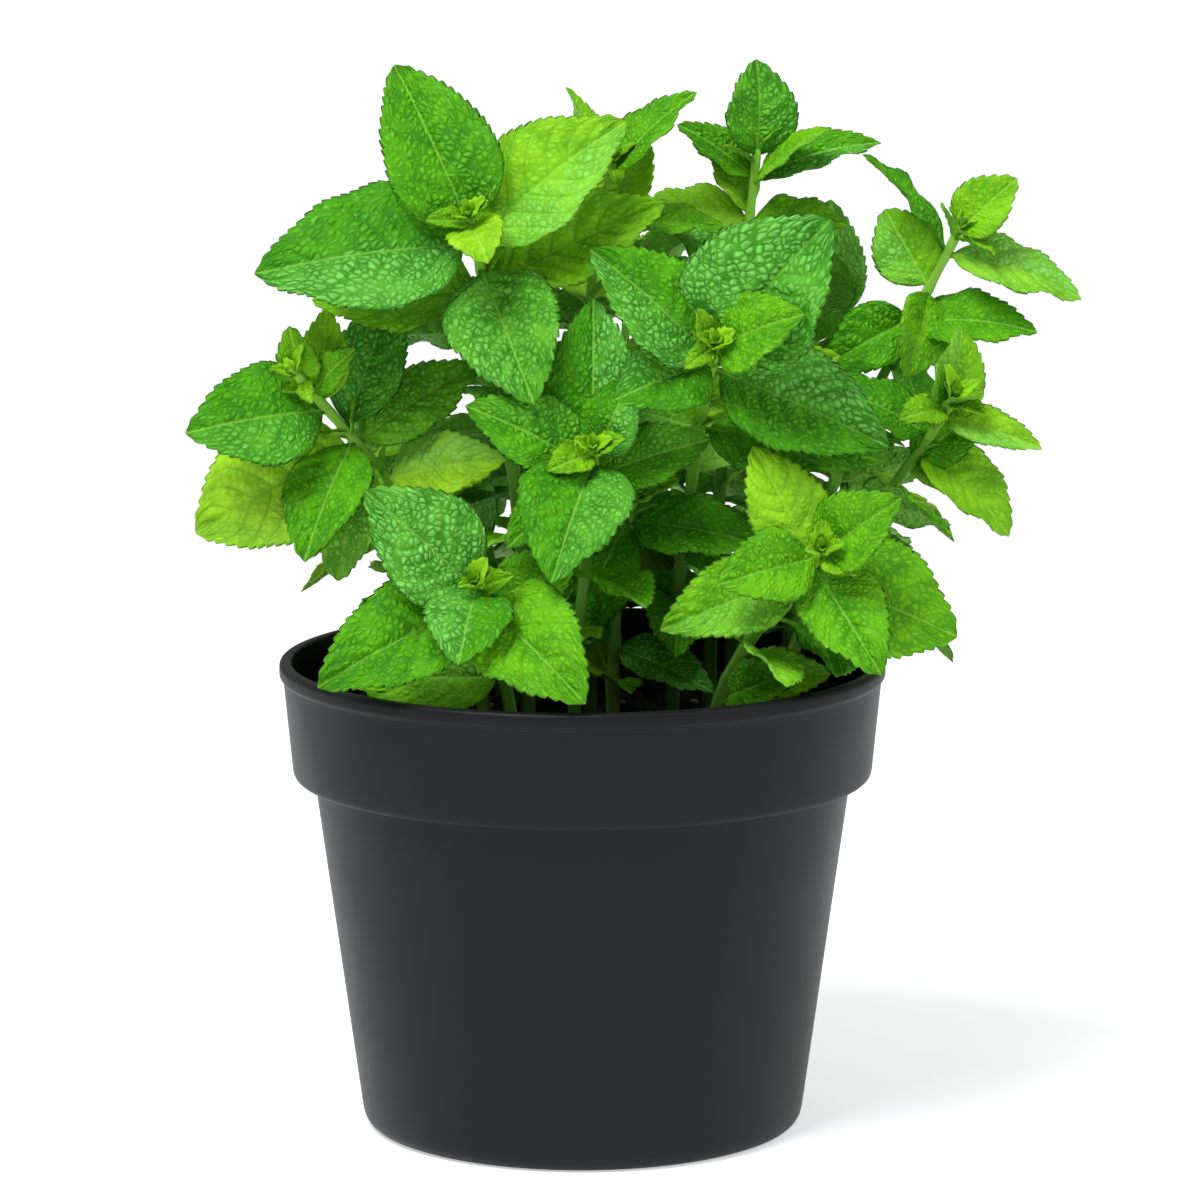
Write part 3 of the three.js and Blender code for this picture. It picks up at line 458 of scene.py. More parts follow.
# %% The shoots
# root: where the stem stands in the soil. tip: where it ends. face: the way the tip looks, as a heading
# (degrees clockwise from straight up, seen from the front) and a forward lean (degrees towards the front).
# below: where the ruled leaves start under the tip, and their twist. A leaf's row holds its drop below the
# tip, heading, forward lean, length, width share and, where the blade is turned about its length, how far.
SHOOTS = {
    "top_left": {
        "root": [-14, -6], "tip": [-29, -26, 245], "face": [-10, 52], "below": [44, 60],
        "leaves": [
            [12, -97, 5, 58, 0.68], [9, -25, -8, 50, 0.64], [12, 51, -5, 51, 0.66], [20, 156, 38, 45, 0.7],
            [4, 150, 62, 20, 0.85], [3, -85, 30, 13, 0.65], [2, 40, 35, 9], [6, 70, 40, 12],
            [26, 66, -14, 52, 0.6], [30, -92, -20, 50, 0.6],
        ],
    },
    "left": {
        "root": [-26, -4], "tip": [-74, -18, 203], "face": [-35, 35], "below": [52, 20],
        "leaves": [
            [15, -97, 15, 39, 0.76, -30], [27, -120, -5, 50, 0.76, -30], [26, -157, 30, 37, 0.7, -10],
            [32, -166, 15, 34, 0.72, -10], [6, -16, 10, 18, 0.68, 20], [3, 150, 50, 9, 0.6],
            [8, 42, 25, 19, 0.6, 30], [7, -90, 40, 11, 0.6], [22, 20, -5, 39, 0.56, 40],
            [27, 58, 5, 39, 0.56, 20], [12, 3, -12, 25, 0.6, 40], [40, 78, 15, 34, 0.62, 20],
        ],
    },
    "centre": {
        "root": [24, 6], "tip": [34, -50, 215], "face": [5, 60], "below": [34, 80],
        "leaves": [
            [8, 39, 12, 49, 0.84], [10, -47, 8, 44, 0.64], [14, 113, 8, 50, 0.62], [12, -106, 28, 30, 0.78],
            [5, 62, 28, 32, 0.7], [2, -120, 40, 12, 0.6], [2, 60, 60, 10, 0.6], [5, -20, 40, 14, 0.6],
            [30, 70, 0, 38, 0.5],
        ],
    },
    "top_back": {
        "root": [34, 18], "tip": [46, 18, 258], "face": [5, 8], "below": [34, 30],
        "leaves": [
            [3, 0, -5, 27, 0.8], [9, 73, 0, 36, 0.44, 30], [8, -55, 0, 25, 0.62, -30],
            [10, 50, 28, 29, 0.5, 30], [4, -60, 20, 12, 0.5], [18, -32, 6, 25, 0.6, -20],
            [19, -84, -5, 30, 0.6, -30], [20, 92, 0, 27, 0.56, 30],
        ],
    },
    "top_right": {
        "root": [54, 4], "tip": [99, 8, 238], "face": [24, 15], "below": [44, 75],
        "leaves": [
            [2, 46, 5, 22, 0.8, 35], [8, 108, 5, 38, 0.54, 20], [8, -40, 0, 35, 0.42],
            [18, -30, -5, 25, 0.8, -60], [3, 110, 40, 14, 0.7], [4, -20, 30, 13, 0.7],
            [29, 92, 15, 35, 0.58, 30], [27, -118, 10, 28, 0.7, -40], [36, 165, 30, 26, 0.65],
            [19, -162, 20, 26, 0.75, -20],
        ],
    },
    "right": {
        "root": [52, -16], "tip": [96, -16, 196], "face": [20, 35], "below": [38, 20],
        "leaves": [
            [19, 131, 10, 33, 0.72], [7, 12, -5, 25, 0.8, 30], [7, 105, 15, 28, 0.46, 20],
            [2, -10, 30, 13, 0.7], [2, 100, 40, 12, 0.7], [4, -95, 40, 17, 0.7], [4, 60, 20, 15, 0.7],
            [13, -64, -10, 34, 0.6], [24, 108, 0, 28, 0.6], [22, 52, 5, 26, 0.62, 25],
            [4, 62, 10, 16, 0.8, 30],
        ],
    },
    "front_right": {
        "root": [34, -36], "tip": [61, -56, 163], "face": [5, 62], "below": [40, 40],
        "leaves": [
            [9, 146, 32, 36, 0.68], [5, 50, 25, 30, 0.75], [5, -101, 25, 29, 0.75], [8, -28, 0, 34, 0.66],
            [14, -109, 12, 40, 0.58], [14, 111, 5, 43, 0.8], [2, 0, 35, 12, 0.7], [2, 115, 50, 13, 0.8],
            [18, 62, -15, 30, 0.56], [56, 66, 20, 25, 0.62], [50, 88, 10, 27, 0.58],
        ],
    },
    "front_left": {
        "root": [-18, -40], "tip": [-27, -58, 155], "face": [-8, 60], "below": [60, 0],
        "leaves": [
            [6, -46, 12, 41, 0.74], [10, -115, 18, 49, 0.6], [10, 128, 34, 46, 0.68],
            [3, 195, 45, 28, 0.85], [2, 20, 45, 13, 0.6], [5, 60, 40, 14, 0.6], [34, -92, 5, 40, 0.58],
            [18, 48, 0, 32, 0.6],
        ],
    },
    "middle": {
        "root": [-2, -24], "tip": [3, -42, 187], "face": [-5, 55], "below": [36, 30],
        "leaves": [
            [6, -158, 38, 42, 0.78], [10, -62, 5, 38, 0.62], [2, 60, 40, 12, 0.7], [3, -105, 35, 15, 0.8],
            [6, 24, 10, 26, 0.66], [12, -125, 20, 34, 0.55], [12, 72, 0, 32, 0.6], [12, 0, -10, 47, 0.58],
        ],
    },
    "top": {
        "root": [2, 8], "tip": [8, 2, 256], "face": [15, 20], "below": [34, 10],
        "leaves": [
            [5, 45, 5, 33, 0.58], [4, -26, 0, 26, 0.42], [18, 34, 6, 25, 0.85], [2, -20, 10, 10],
            [2, 160, 50, 12], [5, -130, 20, 28, 0.5], [18, 92, -5, 34, 0.6],
        ],
    },
    "low_centre": {
        "root": [8, -14], "tip": [14, -22, 172], "face": [20, 42], "below": [60, 0],
        "leaves": [
            [10, 97, 12, 38, 0.62], [8, -155, 20, 38, 0.55], [3, -60, 30, 14, 0.6], [3, 60, 30, 16, 0.6],
            [16, -100, 0, 30, 0.5], [42, -95, 25, 34, 0.5], [44, 112, 20, 30, 0.6], [53, -72, 0, 32, 0.55],
            [54, 75, 45, 30, 0.55],
        ],
    },
    "back_left_high": {
        "root": [-16, 26], "tip": [-22, 46, 214], "face": [-20, -25], "below": [8, 50],
        "leaves": [[14, -84, 20, 42, 0.62], [25, -88, 25, 36, 0.7, -30], [38, -98, 15, 44, 0.7, -30]],
    },
    "back_middle_high": {
        "root": [8, 40], "tip": [14, 62, 222], "face": [10, -30], "below": [8, 10],
        "leaves": [
            [6, 52, 10, 26, 0.7], [14, -95, 10, 36, 0.7], [36, 102, 20, 38, 0.7, 30],
            [38, -95, 20, 38, 0.7],
        ],
    },
    "back_right_high": {
        "root": [40, 34], "tip": [68, 36, 218], "face": [30, -15], "below": [8, 60],
        "leaves": [[12, 6, 0, 36, 0.66, 50], [22, 86, 10, 26, 0.7, 35]],
    },
    "back_left": {
        "root": [-40, 18], "tip": [-60, 44, 172], "face": [-50, -20], "below": [8, 20],
        "leaves": [],
    },
    "back_right": {
        "root": [54, 26], "tip": [80, 52, 172], "face": [50, -25], "below": [8, 35],
        "leaves": [[7, -86, 15, 36, 0.68, -30]],
    },
    "back_low_left": {
        "root": [-22, 46], "tip": [-34, 84, 158], "face": [-40, -45], "below": [8, 70],
        "leaves": [],
    },
    "back_low_middle": {
        "root": [-2, 60], "tip": [0, 88, 148], "face": [0, -55], "below": [8, 45],
        "leaves": [],
    },
    "back_low_right": {
        "root": [26, 52], "tip": [34, 88, 166], "face": [30, -45], "below": [8, 25],
        "leaves": [[9, -96, 25, 34, 0.7], [10, 100, 25, 34, 0.7], [39, -96, 14, 36, 0.7]],
    },
}
print("shoots:", len(SHOOTS))

# %% Directions and draws
UP = np.array([0.0, 0.0, 1.0])
FRONT = np.array([0.0, -1.0, 0.0])
NEARLY_FRONT = np.array([0.0, -1.0, 0.001])


def aim(heading, forward):
    """A unit direction: the heading turns clockwise from straight up, and the lean tips it to the front."""
    h, f = np.radians([heading, forward])
    return np.array([np.cos(f) * np.sin(h), -np.sin(f), np.cos(f) * np.cos(h)])


def draw(a, b, c):
    """A repeatable draw from 0 to 1 for three whole numbers: the fraction of a large sine."""
    v = np.sin(a * 12.9898 + b * 78.233 + c * 37.719) * 43758.5453
    return v - np.floor(v)


def unit(v):
    """The direction of v."""
    return v / np.linalg.norm(v)


def square_to(v, axis):
    """The part of v square to a unit axis."""
    return v - v.dot(axis) * axis


def turned(v, axis, degrees):
    """v turned about a unit axis: the part along the axis stays, and the rest swings round it."""
    r = np.radians(degrees)
    return v * np.cos(r) + np.cross(axis, v) * np.sin(r) + axis * axis.dot(v) * (1 - np.cos(r))


def off_axis(axis, reference, around, degrees):
    """The direction that many degrees off a unit axis, and that far around it from a reference."""
    off = np.radians(degrees)
    return unit(axis * np.cos(off) + turned(unit(square_to(reference, axis)), axis, around) * np.sin(off))


def between(limits, share):
    """A value that share of the way from the first limit to the second."""
    return limits[0] + (limits[1] - limits[0]) * share


print("a tip that leans 30 degrees to the front points:", aim(0, 30).round(2))

# %% Stems as lines
STEM_STRAIGHT = 3.0
STEM_RISE = 0.38
STEM_REACH = 0.3
STEM_POINTS = 41


def stem_line(shoot):
    """A cubic curve that leaves the soil upright and ends along the tip's face, as points with the length
    run to each."""
    start = np.array([*shoot["root"], SOIL_TOP + STEM_STRAIGHT])
    end = np.array(shoot["tip"], float)
    span = np.linalg.norm(end - start)
    rise = start + UP * span * STEM_RISE
    back = end - aim(*shoot["face"]) * span * STEM_REACH
    t = np.linspace(0, 1, STEM_POINTS)[:, None]
    s = 1 - t
    points = s**3 * start + 3 * s * s * t * rise + 3 * s * t * t * back + t**3 * end
    runs = np.concatenate([[0], np.cumsum(np.linalg.norm(np.diff(points, axis=0), axis=1))])
    return {"points": points, "runs": runs, "total": runs[-1]}


def on_stem(stem, drop):
    """The points at lengths below the tip, read off the line between its points."""
    run = np.clip(stem["total"] - np.asarray(drop, float), 0, stem["total"])
    return np.stack([np.interp(run, stem["runs"], stem["points"][:, i]) for i in range(3)], axis=-1)


def way_of_stem(stem, drop):
    """The stem's upward direction at a drop: the unit step over the 2 mm round it."""
    step = on_stem(stem, np.asarray(drop) - 1) - on_stem(stem, np.asarray(drop) + 1)
    return step / np.linalg.norm(step, axis=-1, keepdims=True)


stems = {name: stem_line(shoot) for name, shoot in SHOOTS.items()}
print("stem lengths:", {name: round(stem["total"]) for name, stem in stems.items()})

# %% A leaf's form
BLADE_START = 0.06
YOUNG_LENGTH = 16.0
CURL, YOUNG_CURL = (18, 44), (14, 24)
FOLD, YOUNG_FOLD = (6, 20), (22, 22)
WAVE = (0.0088, 0.0308)
WAVES = 2.5
NEAR_STALK = 0.7
FULL_SIDES = 0.8
LEAST_TILT = 0.15
FOLD_BOTTOM = 0.12


def width_share(t):
    """The blade's half width along the midrib as a share of its widest: half a sine over the blade, whose
    middle is brought nearer the stalk by a power of 0.7 and whose sides are filled by one of 0.8."""
    blade = np.clip((t - BLADE_START) / (1 - BLADE_START), 0, 1)
    return np.sin(np.pi * blade**NEAR_STALK) ** FULL_SIDES


def make_leaf(base, face, along, roll, length, share, seed):
    """A leaf: where its stalk starts, the way its chord and its upper face point, its size, and the draws
    that make it differ from its neighbours."""
    tilted = square_to(face, along)
    up = square_to(UP, along) if np.linalg.norm(tilted) < LEAST_TILT else tilted
    young = length <= YOUNG_LENGTH
    return {
        "base": base,
        "along": along,
        "up": turned(unit(up), along, roll),
        "length": length,
        "width": share * length,
        "curl": between(YOUNG_CURL if young else CURL, draw(*seed, 1)),
        "fold": between(YOUNG_FOLD if young else FOLD, draw(*seed, 2)),
        "wave": length * between(WAVE, draw(*seed, 3)),
        "phase": FULL_TURN * draw(*seed, 4),
        "seed": seed,
    }


def blade_at(leaf, t, u, half, soft=0.0):
    """Points of the blade's middle surface and its upward direction there. The midrib is an arc over the
    chord, half is the blade's half width, the two halves fold up from the midrib and the margin waves.
    soft rounds the fold's bottom."""
    curl = np.radians(leaf["curl"])
    angle = curl * (0.5 - t)
    bend = leaf["length"] / curl
    forth = bend * (np.sin(curl / 2) - np.sin(angle))
    lift = bend * (np.cos(angle) - np.cos(curl / 2))
    side = np.cross(leaf["along"], leaf["up"])
    normal = np.cos(angle)[..., None] * leaf["up"] - np.sin(angle)[..., None] * leaf["along"]
    fold = np.radians(leaf["fold"])
    across = np.sqrt(u * u + soft * soft) - soft
    wave = leaf["wave"] * u * u * width_share(t) * np.sin(WAVES * FULL_TURN * t + leaf["phase"])
    middle = leaf["base"] + forth[..., None] * leaf["along"] + lift[..., None] * leaf["up"]
    rise = half * across * np.sin(fold) + wave
    points = middle + (half * u * np.cos(fold))[..., None] * side + rise[..., None] * normal
    lean = np.tanh(u / FOLD_BOTTOM)[..., None] * np.sin(fold)
    return points, np.cos(fold) * normal - lean * side


widest = BLADE_START + (1 - BLADE_START) * 0.5 ** (1 / NEAR_STALK)
print("leaf form: widest at", round(widest, 2), "of the length")

# %% Room between leaves
LEAF_GAP = 3.1
SAME_SHOOT_GAP = 1.8
SAME_SHOOT_FREE = 0.3
STEM_THICKNESS = 1.4
SAMPLE_STEP = 3.0
STEM_SAMPLE_STEP = 2.5
NEAR, FAR = 6.0, 99.0
OVER_SOIL, OVER_RIM, INSIDE_RIM, OUTSIDE_RIM, LOWEST_LEAF = 2.0, 2.5, 6.5, 3.5, 90.0
STALK_FREE = 0.1
LONG_LEAF = 20


def samples_of(leaf):
    """Points some 3 mm apart over a blade, and how far along it each is."""
    rows = int(np.ceil(leaf["length"] / SAMPLE_STEP))
    across = 6 if leaf["length"] > LONG_LEAF else 4
    t, u = np.meshgrid(np.arange(rows + 1) / rows, 2 * np.arange(across + 1) / across - 1, indexing="ij")
    points, _ = blade_at(leaf, t, u, 0.5 * leaf["width"] * width_share(t))
    return points.reshape(-1, 3), t.ravel()


def clear_of_pot(points):
    """Whether all points are over the soil, over the rim or well beside it."""
    r = np.hypot(points[:, 0], points[:, 1])
    inside = np.where(r > LIP_RADIUS - INSIDE_RIM, POT_HEIGHT + OVER_RIM, SOIL_TOP + OVER_SOIL)
    return bool((points[:, 2] >= np.where(r > LIP_RADIUS + OUTSIDE_RIM, LOWEST_LEAF, inside)).all())


def least_gap(a, b):
    """The least distance from any point of a to any point of b."""
    if not len(a) or not len(b):
        return FAR
    return np.sqrt(((a[:, None] - b[None]) ** 2).sum(axis=-1).min())


def room_round(points, t, shoot, stem_samples, placed):
    """The least gap from a leaf's samples to other shoots' stems and to the leaves placed before it."""
    low, high = points.min(axis=0) - NEAR, points.max(axis=0) + NEAR
    least = FAR
    for other, line in enumerate(stem_samples):
        near = line[((line >= low) & (line <= high)).all(axis=1)]
        if other != shoot and len(near):
            least = min(least, least_gap(points, near) - STEM_THICKNESS)
    for leaf in placed:
        if (leaf["low"] > high).any() or (leaf["high"] < low).any():
            continue
        if leaf["shoot"] == shoot:
            own, others = points[t > SAME_SHOOT_FREE], leaf["points"][leaf["t"] > SAME_SHOOT_FREE]
            least = min(least, least_gap(own, others) + LEAF_GAP - SAME_SHOOT_GAP)
        else:
            least = min(least, least_gap(points, leaf["points"]))
    return least


print("room kept between leaves:", LEAF_GAP, "mm")

# %% The leaves that grow
# drop below the tip, leaf length and angle off the stem, for each node of a stem
NODES = [
    (3, 10, 25), (8, 18, 40), (15, 28, 58), (26, 38, 72), (40, 42, 84), (56, 40, 92), (74, 36, 98),
    (94, 32, 100), (116, 28, 100),
]
LOWEST_NODE = 15
PAIR_TURN = 90
AROUND_SPREAD, PITCH_SPREAD = 24, 14
RULED_STRETCH, RULED_SHARE = (0.9, 1.2), (0.56, 0.7)
RULED_SEED = 100
DEFAULT_SHARE = 0.58


def written_leaves(index, shoot, stem):
    """One leaf to grow for each row of the shoot's table."""
    jobs = []
    for row, (drop, heading, forward, length, *rest) in enumerate(shoot["leaves"]):
        share, roll = (rest + [DEFAULT_SHARE, 0][len(rest) :])[:2]
        facing = aim(*shoot["face"])
        along = aim(heading, forward)
        jobs.append((index, row, drop, on_stem(stem, drop), facing, along, roll, length, share, True))
    return jobs


def ruled_leaves(index, shoot, stem):
    """Pairs lower down: each stands across the one above it, a little off by draws."""
    start, twist = shoot["below"]
    jobs = []
    for node, (drop, length, pitch) in enumerate(NODES):
        if drop < start or drop > stem["total"] - LOWEST_NODE:
            continue
        axis = way_of_stem(stem, drop)
        for half in (0, 1):
            around = twist + PAIR_TURN * node + 180 * half + AROUND_SPREAD * (draw(index, node, half) - 0.5)
            off = pitch + PITCH_SPREAD * (draw(index, node, half + 5) - 0.5)
            along = off_axis(axis, FRONT, around, off)
            size = length * between(RULED_STRETCH, draw(index, node, half + 9))
            share = between(RULED_SHARE, draw(index, node, half + 13))
            seed = RULED_SEED + 2 * node + half
            jobs.append((index, seed, drop, on_stem(stem, drop), axis, along, 0, size, share, False))
    return jobs


print("pairs that the longest stem could bear:", len(NODES))

# %% Place every leaf
# degrees up or down and degrees round the stem, tried in turn, and then the same for a shorter leaf
BENDS = [
    (0, 0), (8, 0), (-8, 0), (16, 0), (-16, 0), (24, 0), (-24, 0), (0, 10), (0, -10), (12, 10), (-12, -10),
    (12, -10), (-12, 10), (32, 0), (-32, 0), (20, 18), (-20, 18), (20, -18), (-20, -18), (0, 25), (0, -25),
]
SHRINKS = (1, 0.85, 0.7)


def place_leaves():
    """Gives each leaf the first bend that is clear of all else. A ruled leaf with none is left out, and a
    written one keeps the bend with the widest gap."""
    lines = [on_stem(stem, np.arange(0, stem["total"], STEM_SAMPLE_STEP)) for stem in stems.values()]
    grown = list(enumerate(zip(SHOOTS.values(), stems.values())))
    jobs = [job for index, (shoot, stem) in grown for job in written_leaves(index, shoot, stem)]
    jobs += [job for index, (shoot, stem) in grown for job in ruled_leaves(index, shoot, stem)]
    placed = []
    for index, seed, drop, base, face, along, roll, length, share, written in jobs:
        hinge = unit(np.cross(along, NEARLY_FRONT))
        best = None
        for shrink in SHRINKS:
            for lift, swing in BENDS:
                if best and best["gap"] >= LEAF_GAP:
                    break
                bent = unit(turned(turned(along, hinge, lift), face, swing))
                leaf = make_leaf(base, face, bent, roll, length * shrink, share, (index, seed))
                points, t = samples_of(leaf)
                if not clear_of_pot(points[t > STALK_FREE]):
                    continue
                gap = room_round(points, t, index, lines, placed)
                if best is None or gap > best["gap"]:
                    best = {"gap": gap, "leaf": leaf, "points": points, "t": t, "shoot": index, "drop": drop}
        if best and (written or best["gap"] >= LEAF_GAP):
            best["low"], best["high"] = best["points"].min(axis=0), best["points"].max(axis=0)
            placed.append(best)
    return placed


placed_leaves = place_leaves()
print("leaves placed:", len(placed_leaves))

# %% [markdown]
# ## The leaf's skin
#
# A mint blade is quilted: the midrib and up to eight pairs of side veins lie in grooves, finer veins cross
# between them, and the tissue puffs up in every cell. Its margin has forward-leaning teeth. The blade is a
# closed skin round its middle surface. Each ring goes over the upper face from one margin to the other and
# back underneath, with a row at every tooth's valley, flank and point, so that the teeth are crisp with few
# faces. The veins' own coordinates go into the mesh for the finish to draw them. Copies of one leaf would
# be less work and look stamped, so each blade is computed from its own draws.

# %% Teeth
TOOTH_MM = 2.9
TOOTH_DEEP_MM = 0.45
TOOTH_PEAK = 0.72
TEETH_FROM, TEETH_TO = 0.1, 0.95


def tooth_rows(leaf, fine):
    """Places of the rows along the blade and the tooth's height at each. A tooth climbs to its point, which
    is at 0.72 of the pitch, as 1 less the share still to go to the power 1.7, and drops straight after it."""
    teeth = max(4, round(leaf["length"] / TOOTH_MM))
    phase = np.array([0.0, 0.24, 0.48, TOOTH_PEAK] if fine else [0.0, 0.36, TOOTH_PEAK])
    climb = 1 - (1 - np.minimum(phase / TOOTH_PEAK, 1)) ** 1.7
    height = np.where(phase <= TOOTH_PEAK, climb, (1 - phase) / (1 - TOOTH_PEAK))
    run = (np.arange(teeth)[:, None] + phase).ravel() / teeth
    foot, end = [0.0, 0.03, 0.055, 0.075], [0.965, 0.98, 0.992]
    t = np.concatenate([foot, between((TEETH_FROM, TEETH_TO), run), end])
    tall = np.concatenate([np.ones(len(foot)), np.tile(height, teeth), np.ones(len(end))])
    return t, tall


print("rows along a leaf of 45 mm:", len(tooth_rows({"length": 45}, True)[0]))

# %% Veins and cells
VEIN_PAIRS = (4, 8)
GROWN_LEAF_MM = 45
VEIN_RISE = np.sin(np.radians(40)), np.cos(np.radians(40))
CELL_ACROSS_MM = 2.5


def vein_layout(leaf, t, u, out):
    """How many pairs of side veins a leaf has, and the veins' own coordinates: side veins counted up the
    midrib, and millimetres run along one, which leaves the midrib 40 degrees off square. Cross veins are
    counted out from the midrib, and a cell is a sine between side veins times a sine between cross veins."""
    a, b = leaf["seed"]
    pairs = round(between(VEIN_PAIRS, min(leaf["length"] / GROWN_LEAF_MM, 1)))
    wobble = 0.14 * np.sin(9 * t + 5 * u + FULL_TURN * draw(a, b, 21)) * np.abs(u)
    vein = pairs * (t - 0.17 * np.abs(u) - 0.13 * u * u) + wobble
    along_vein = VEIN_RISE[0] * t * leaf["length"] + VEIN_RISE[1] * out
    band = np.floor(vein) + 0.5 * (u > 0)
    crossing = out / CELL_ACROSS_MM + 3 * draw(band, a, 22) + 0.3 * np.sin(FULL_TURN * vein)
    cell = np.abs(np.sin(np.pi * vein)) ** 0.7 * (0.5 + 0.5 * np.abs(np.sin(np.pi * crossing)) ** 0.8)
    return pairs, vein, along_vein, cell


print("pairs of side veins: up to", VEIN_PAIRS[1])

# %% Blade skin
STALK_HALF_WIDTH = 1.0
STALK_HALF_THICK = 0.8
BLADE_HALF_THICK = 0.2
COLUMN_MM = 1.0
PUFF_MM = 1.0
PUFF_SPREAD = (0.55, 1.35)
CRINKLE_MM = 0.6
GROOVE_MM = 0.35
RIDGE_MM = 0.55
VEIN_RIDGE_MM = 0.2
MIDRIB_MM = 0.9
TOOTH_LEAN = 0.22
# the draw that a leaf's lightness comes from, and those of its two halves' painted sheen, a painted highlight
TONE_DRAW = 239
PAINTED_SHEEN_DRAWS = (2444, 2210)
# a half gets the painted sheen if its draw and the leaf's age are both over this
PAINTED_SHEEN_OVER = 0.6
UV_MM = 50.0
UV_SCATTER_MM = 150


def blade_skin(leaf, fine, age):
    """The closed skin of a leaf. From its middle surface the upper face rises by the puffed cells and the
    lower face follows it, a blade's thickness below, with the midrib and the side veins standing proud."""
    a, b = leaf["seed"]
    t_rows, tall_rows = tooth_rows(leaf, fine)
    columns = int(np.clip(round(leaf["width"] / 2 / COLUMN_MM), 6, 17 if fine else 10))
    upper = np.linspace(-1, 1, 2 * columns + 1)
    upper = np.sign(upper) * (0.78 * np.abs(upper) + 0.22 * np.abs(upper) ** 2)
    lower = upper[1:-1][::-2]
    u_ring = np.concatenate([upper, lower])
    face = np.concatenate([[0.0], np.ones(len(upper) - 2), [0.0], -np.ones(len(lower))])
    t, u = np.meshgrid(t_rows, u_ring, indexing="ij")
    tall = np.repeat(tall_rows[:, None], len(u_ring), axis=1)
    face = np.broadcast_to(face, t.shape)
    half = np.maximum(0.5 * leaf["width"] * width_share(t), STALK_HALF_WIDTH * (1 - 0.8 * t))
    size = np.clip(leaf["length"] / 40, 0.25, 1.2)
    at_edge = np.abs(u) ** 5
    depth = TOOTH_DEEP_MM * size**0.5 * np.clip(half / 4, 0, 1) * at_edge
    cut = half - depth * (1 - tall)
    lean = TOOTH_LEAN * tall * at_edge * TOOTH_MM / leaf["length"] * (t > TEETH_FROM) * (t < TEETH_TO)
    middle, normal = blade_at(leaf, t + lean, u, cut, soft=0.05)

    out = np.abs(u) * half
    pairs, vein, along_vein, cell = vein_layout(leaf, t, u, out)
    blade = np.clip((t - 0.08) / 0.1, 0, 1) * np.clip((1 - t) / 0.08, 0, 1)
    edge_fade = 1 - np.abs(u) ** 7
    puff = PUFF_MM * size**0.6 * between(PUFF_SPREAD, draw(a, b, 23)) * cell * blade * edge_fade
    puff = puff * np.tanh(out / 1.2)
    swing = FULL_TURN * (pairs * 0.5 * t + 0.25 * np.sign(u)) + leaf["phase"]
    crinkle = CRINKLE_MM * size * blade * np.abs(u) ** 3 * np.sin(swing)
    near_midrib = np.exp(-((out / MIDRIB_MM) ** 2))
    groove = GROOVE_MM * size * blade * near_midrib
    stalk = 1 - np.clip((t - 0.05) / 0.08, 0, 1)
    section = np.sqrt(np.clip(1 - u * u, 0, 1))
    thick = stalk * STALK_HALF_THICK * section + (1 - stalk) * BLADE_HALF_THICK * (1 - u**8) * (1 - 0.5 * t)
    ridge = RIDGE_MM * size * blade * (1 - 0.8 * t) * near_midrib
    vein_ridge = VEIN_RIDGE_MM * blade * edge_fade * (1 - np.abs(np.sin(np.pi * vein))) ** 2
    above = puff - groove + thick
    below = 0.8 * puff - groove - thick - ridge - vein_ridge
    offset = np.where(face > 0, above, np.where(face < 0, below, 0)) + crinkle
    rings = middle + offset[..., None] * normal

    end, _ = blade_at(leaf, np.array([1.0]), np.array([0.0]), np.array([0.0]))
    # painted sheen: each half's share of a pale painted highlight, carried in the veins attribute for the
    # finish
    half_painted_sheens = [np.clip((draw(a, b, n) - PAINTED_SHEEN_OVER) / (1 - PAINTED_SHEEN_OVER), 0, 1) for n in PAINTED_SHEEN_DRAWS]
    painted_sheen = between(half_painted_sheens, 0.5 + 0.5 * np.tanh(6 * u)) * (age > PAINTED_SHEEN_OVER)
    veins = np.stack([vein, painted_sheen, along_vein], axis=-1)
    form = np.stack([cell * blade, np.abs(u), u * half], axis=-1)
    lightness = np.full(t.shape, draw(a, b, TONE_DRAW))
    tone = np.stack([np.full(t.shape, age), lightness, face * 0.5 + 0.5], axis=-1)
    scatter = [UV_SCATTER_MM * draw(a, b, n) for n in (25, 26)]
    place = np.stack([t * leaf["length"] + scatter[0], u * half + scatter[1]], axis=-1) / UV_MM
    return closed_skin(rings, leaf["base"], end[0], veins=veins, form=form, tone=tone, uv=place)


trial = blade_skin(placed_leaves[0]["leaf"], True, 1.0)
print("faces of the first leaf:", len(trial["quads"]) + len(trial["triangles"]))

# %% [markdown]
# ## The stem's skin
#
# A mint stem is square with rounded ridges and faces that are a little hollow, and it swells where a pair of
# leaves leaves it. Its section is a rounded square carried up the stem's line without twisting, the same
# width as the CAD stem's. A bevelled curve could make it, but only rings let it swell where leaves stand.

# %% Stem skin
STEM_HALF_FOOT = 1.9
STEM_HALF_TIP = 1.1
STEM_DEPTH = 14.0
STEM_AROUND = 16
STEM_STEP = 2.2
NODE_SWELL = 0.22
NODE_MM = 1.6
FACE_HOLLOW = 0.08


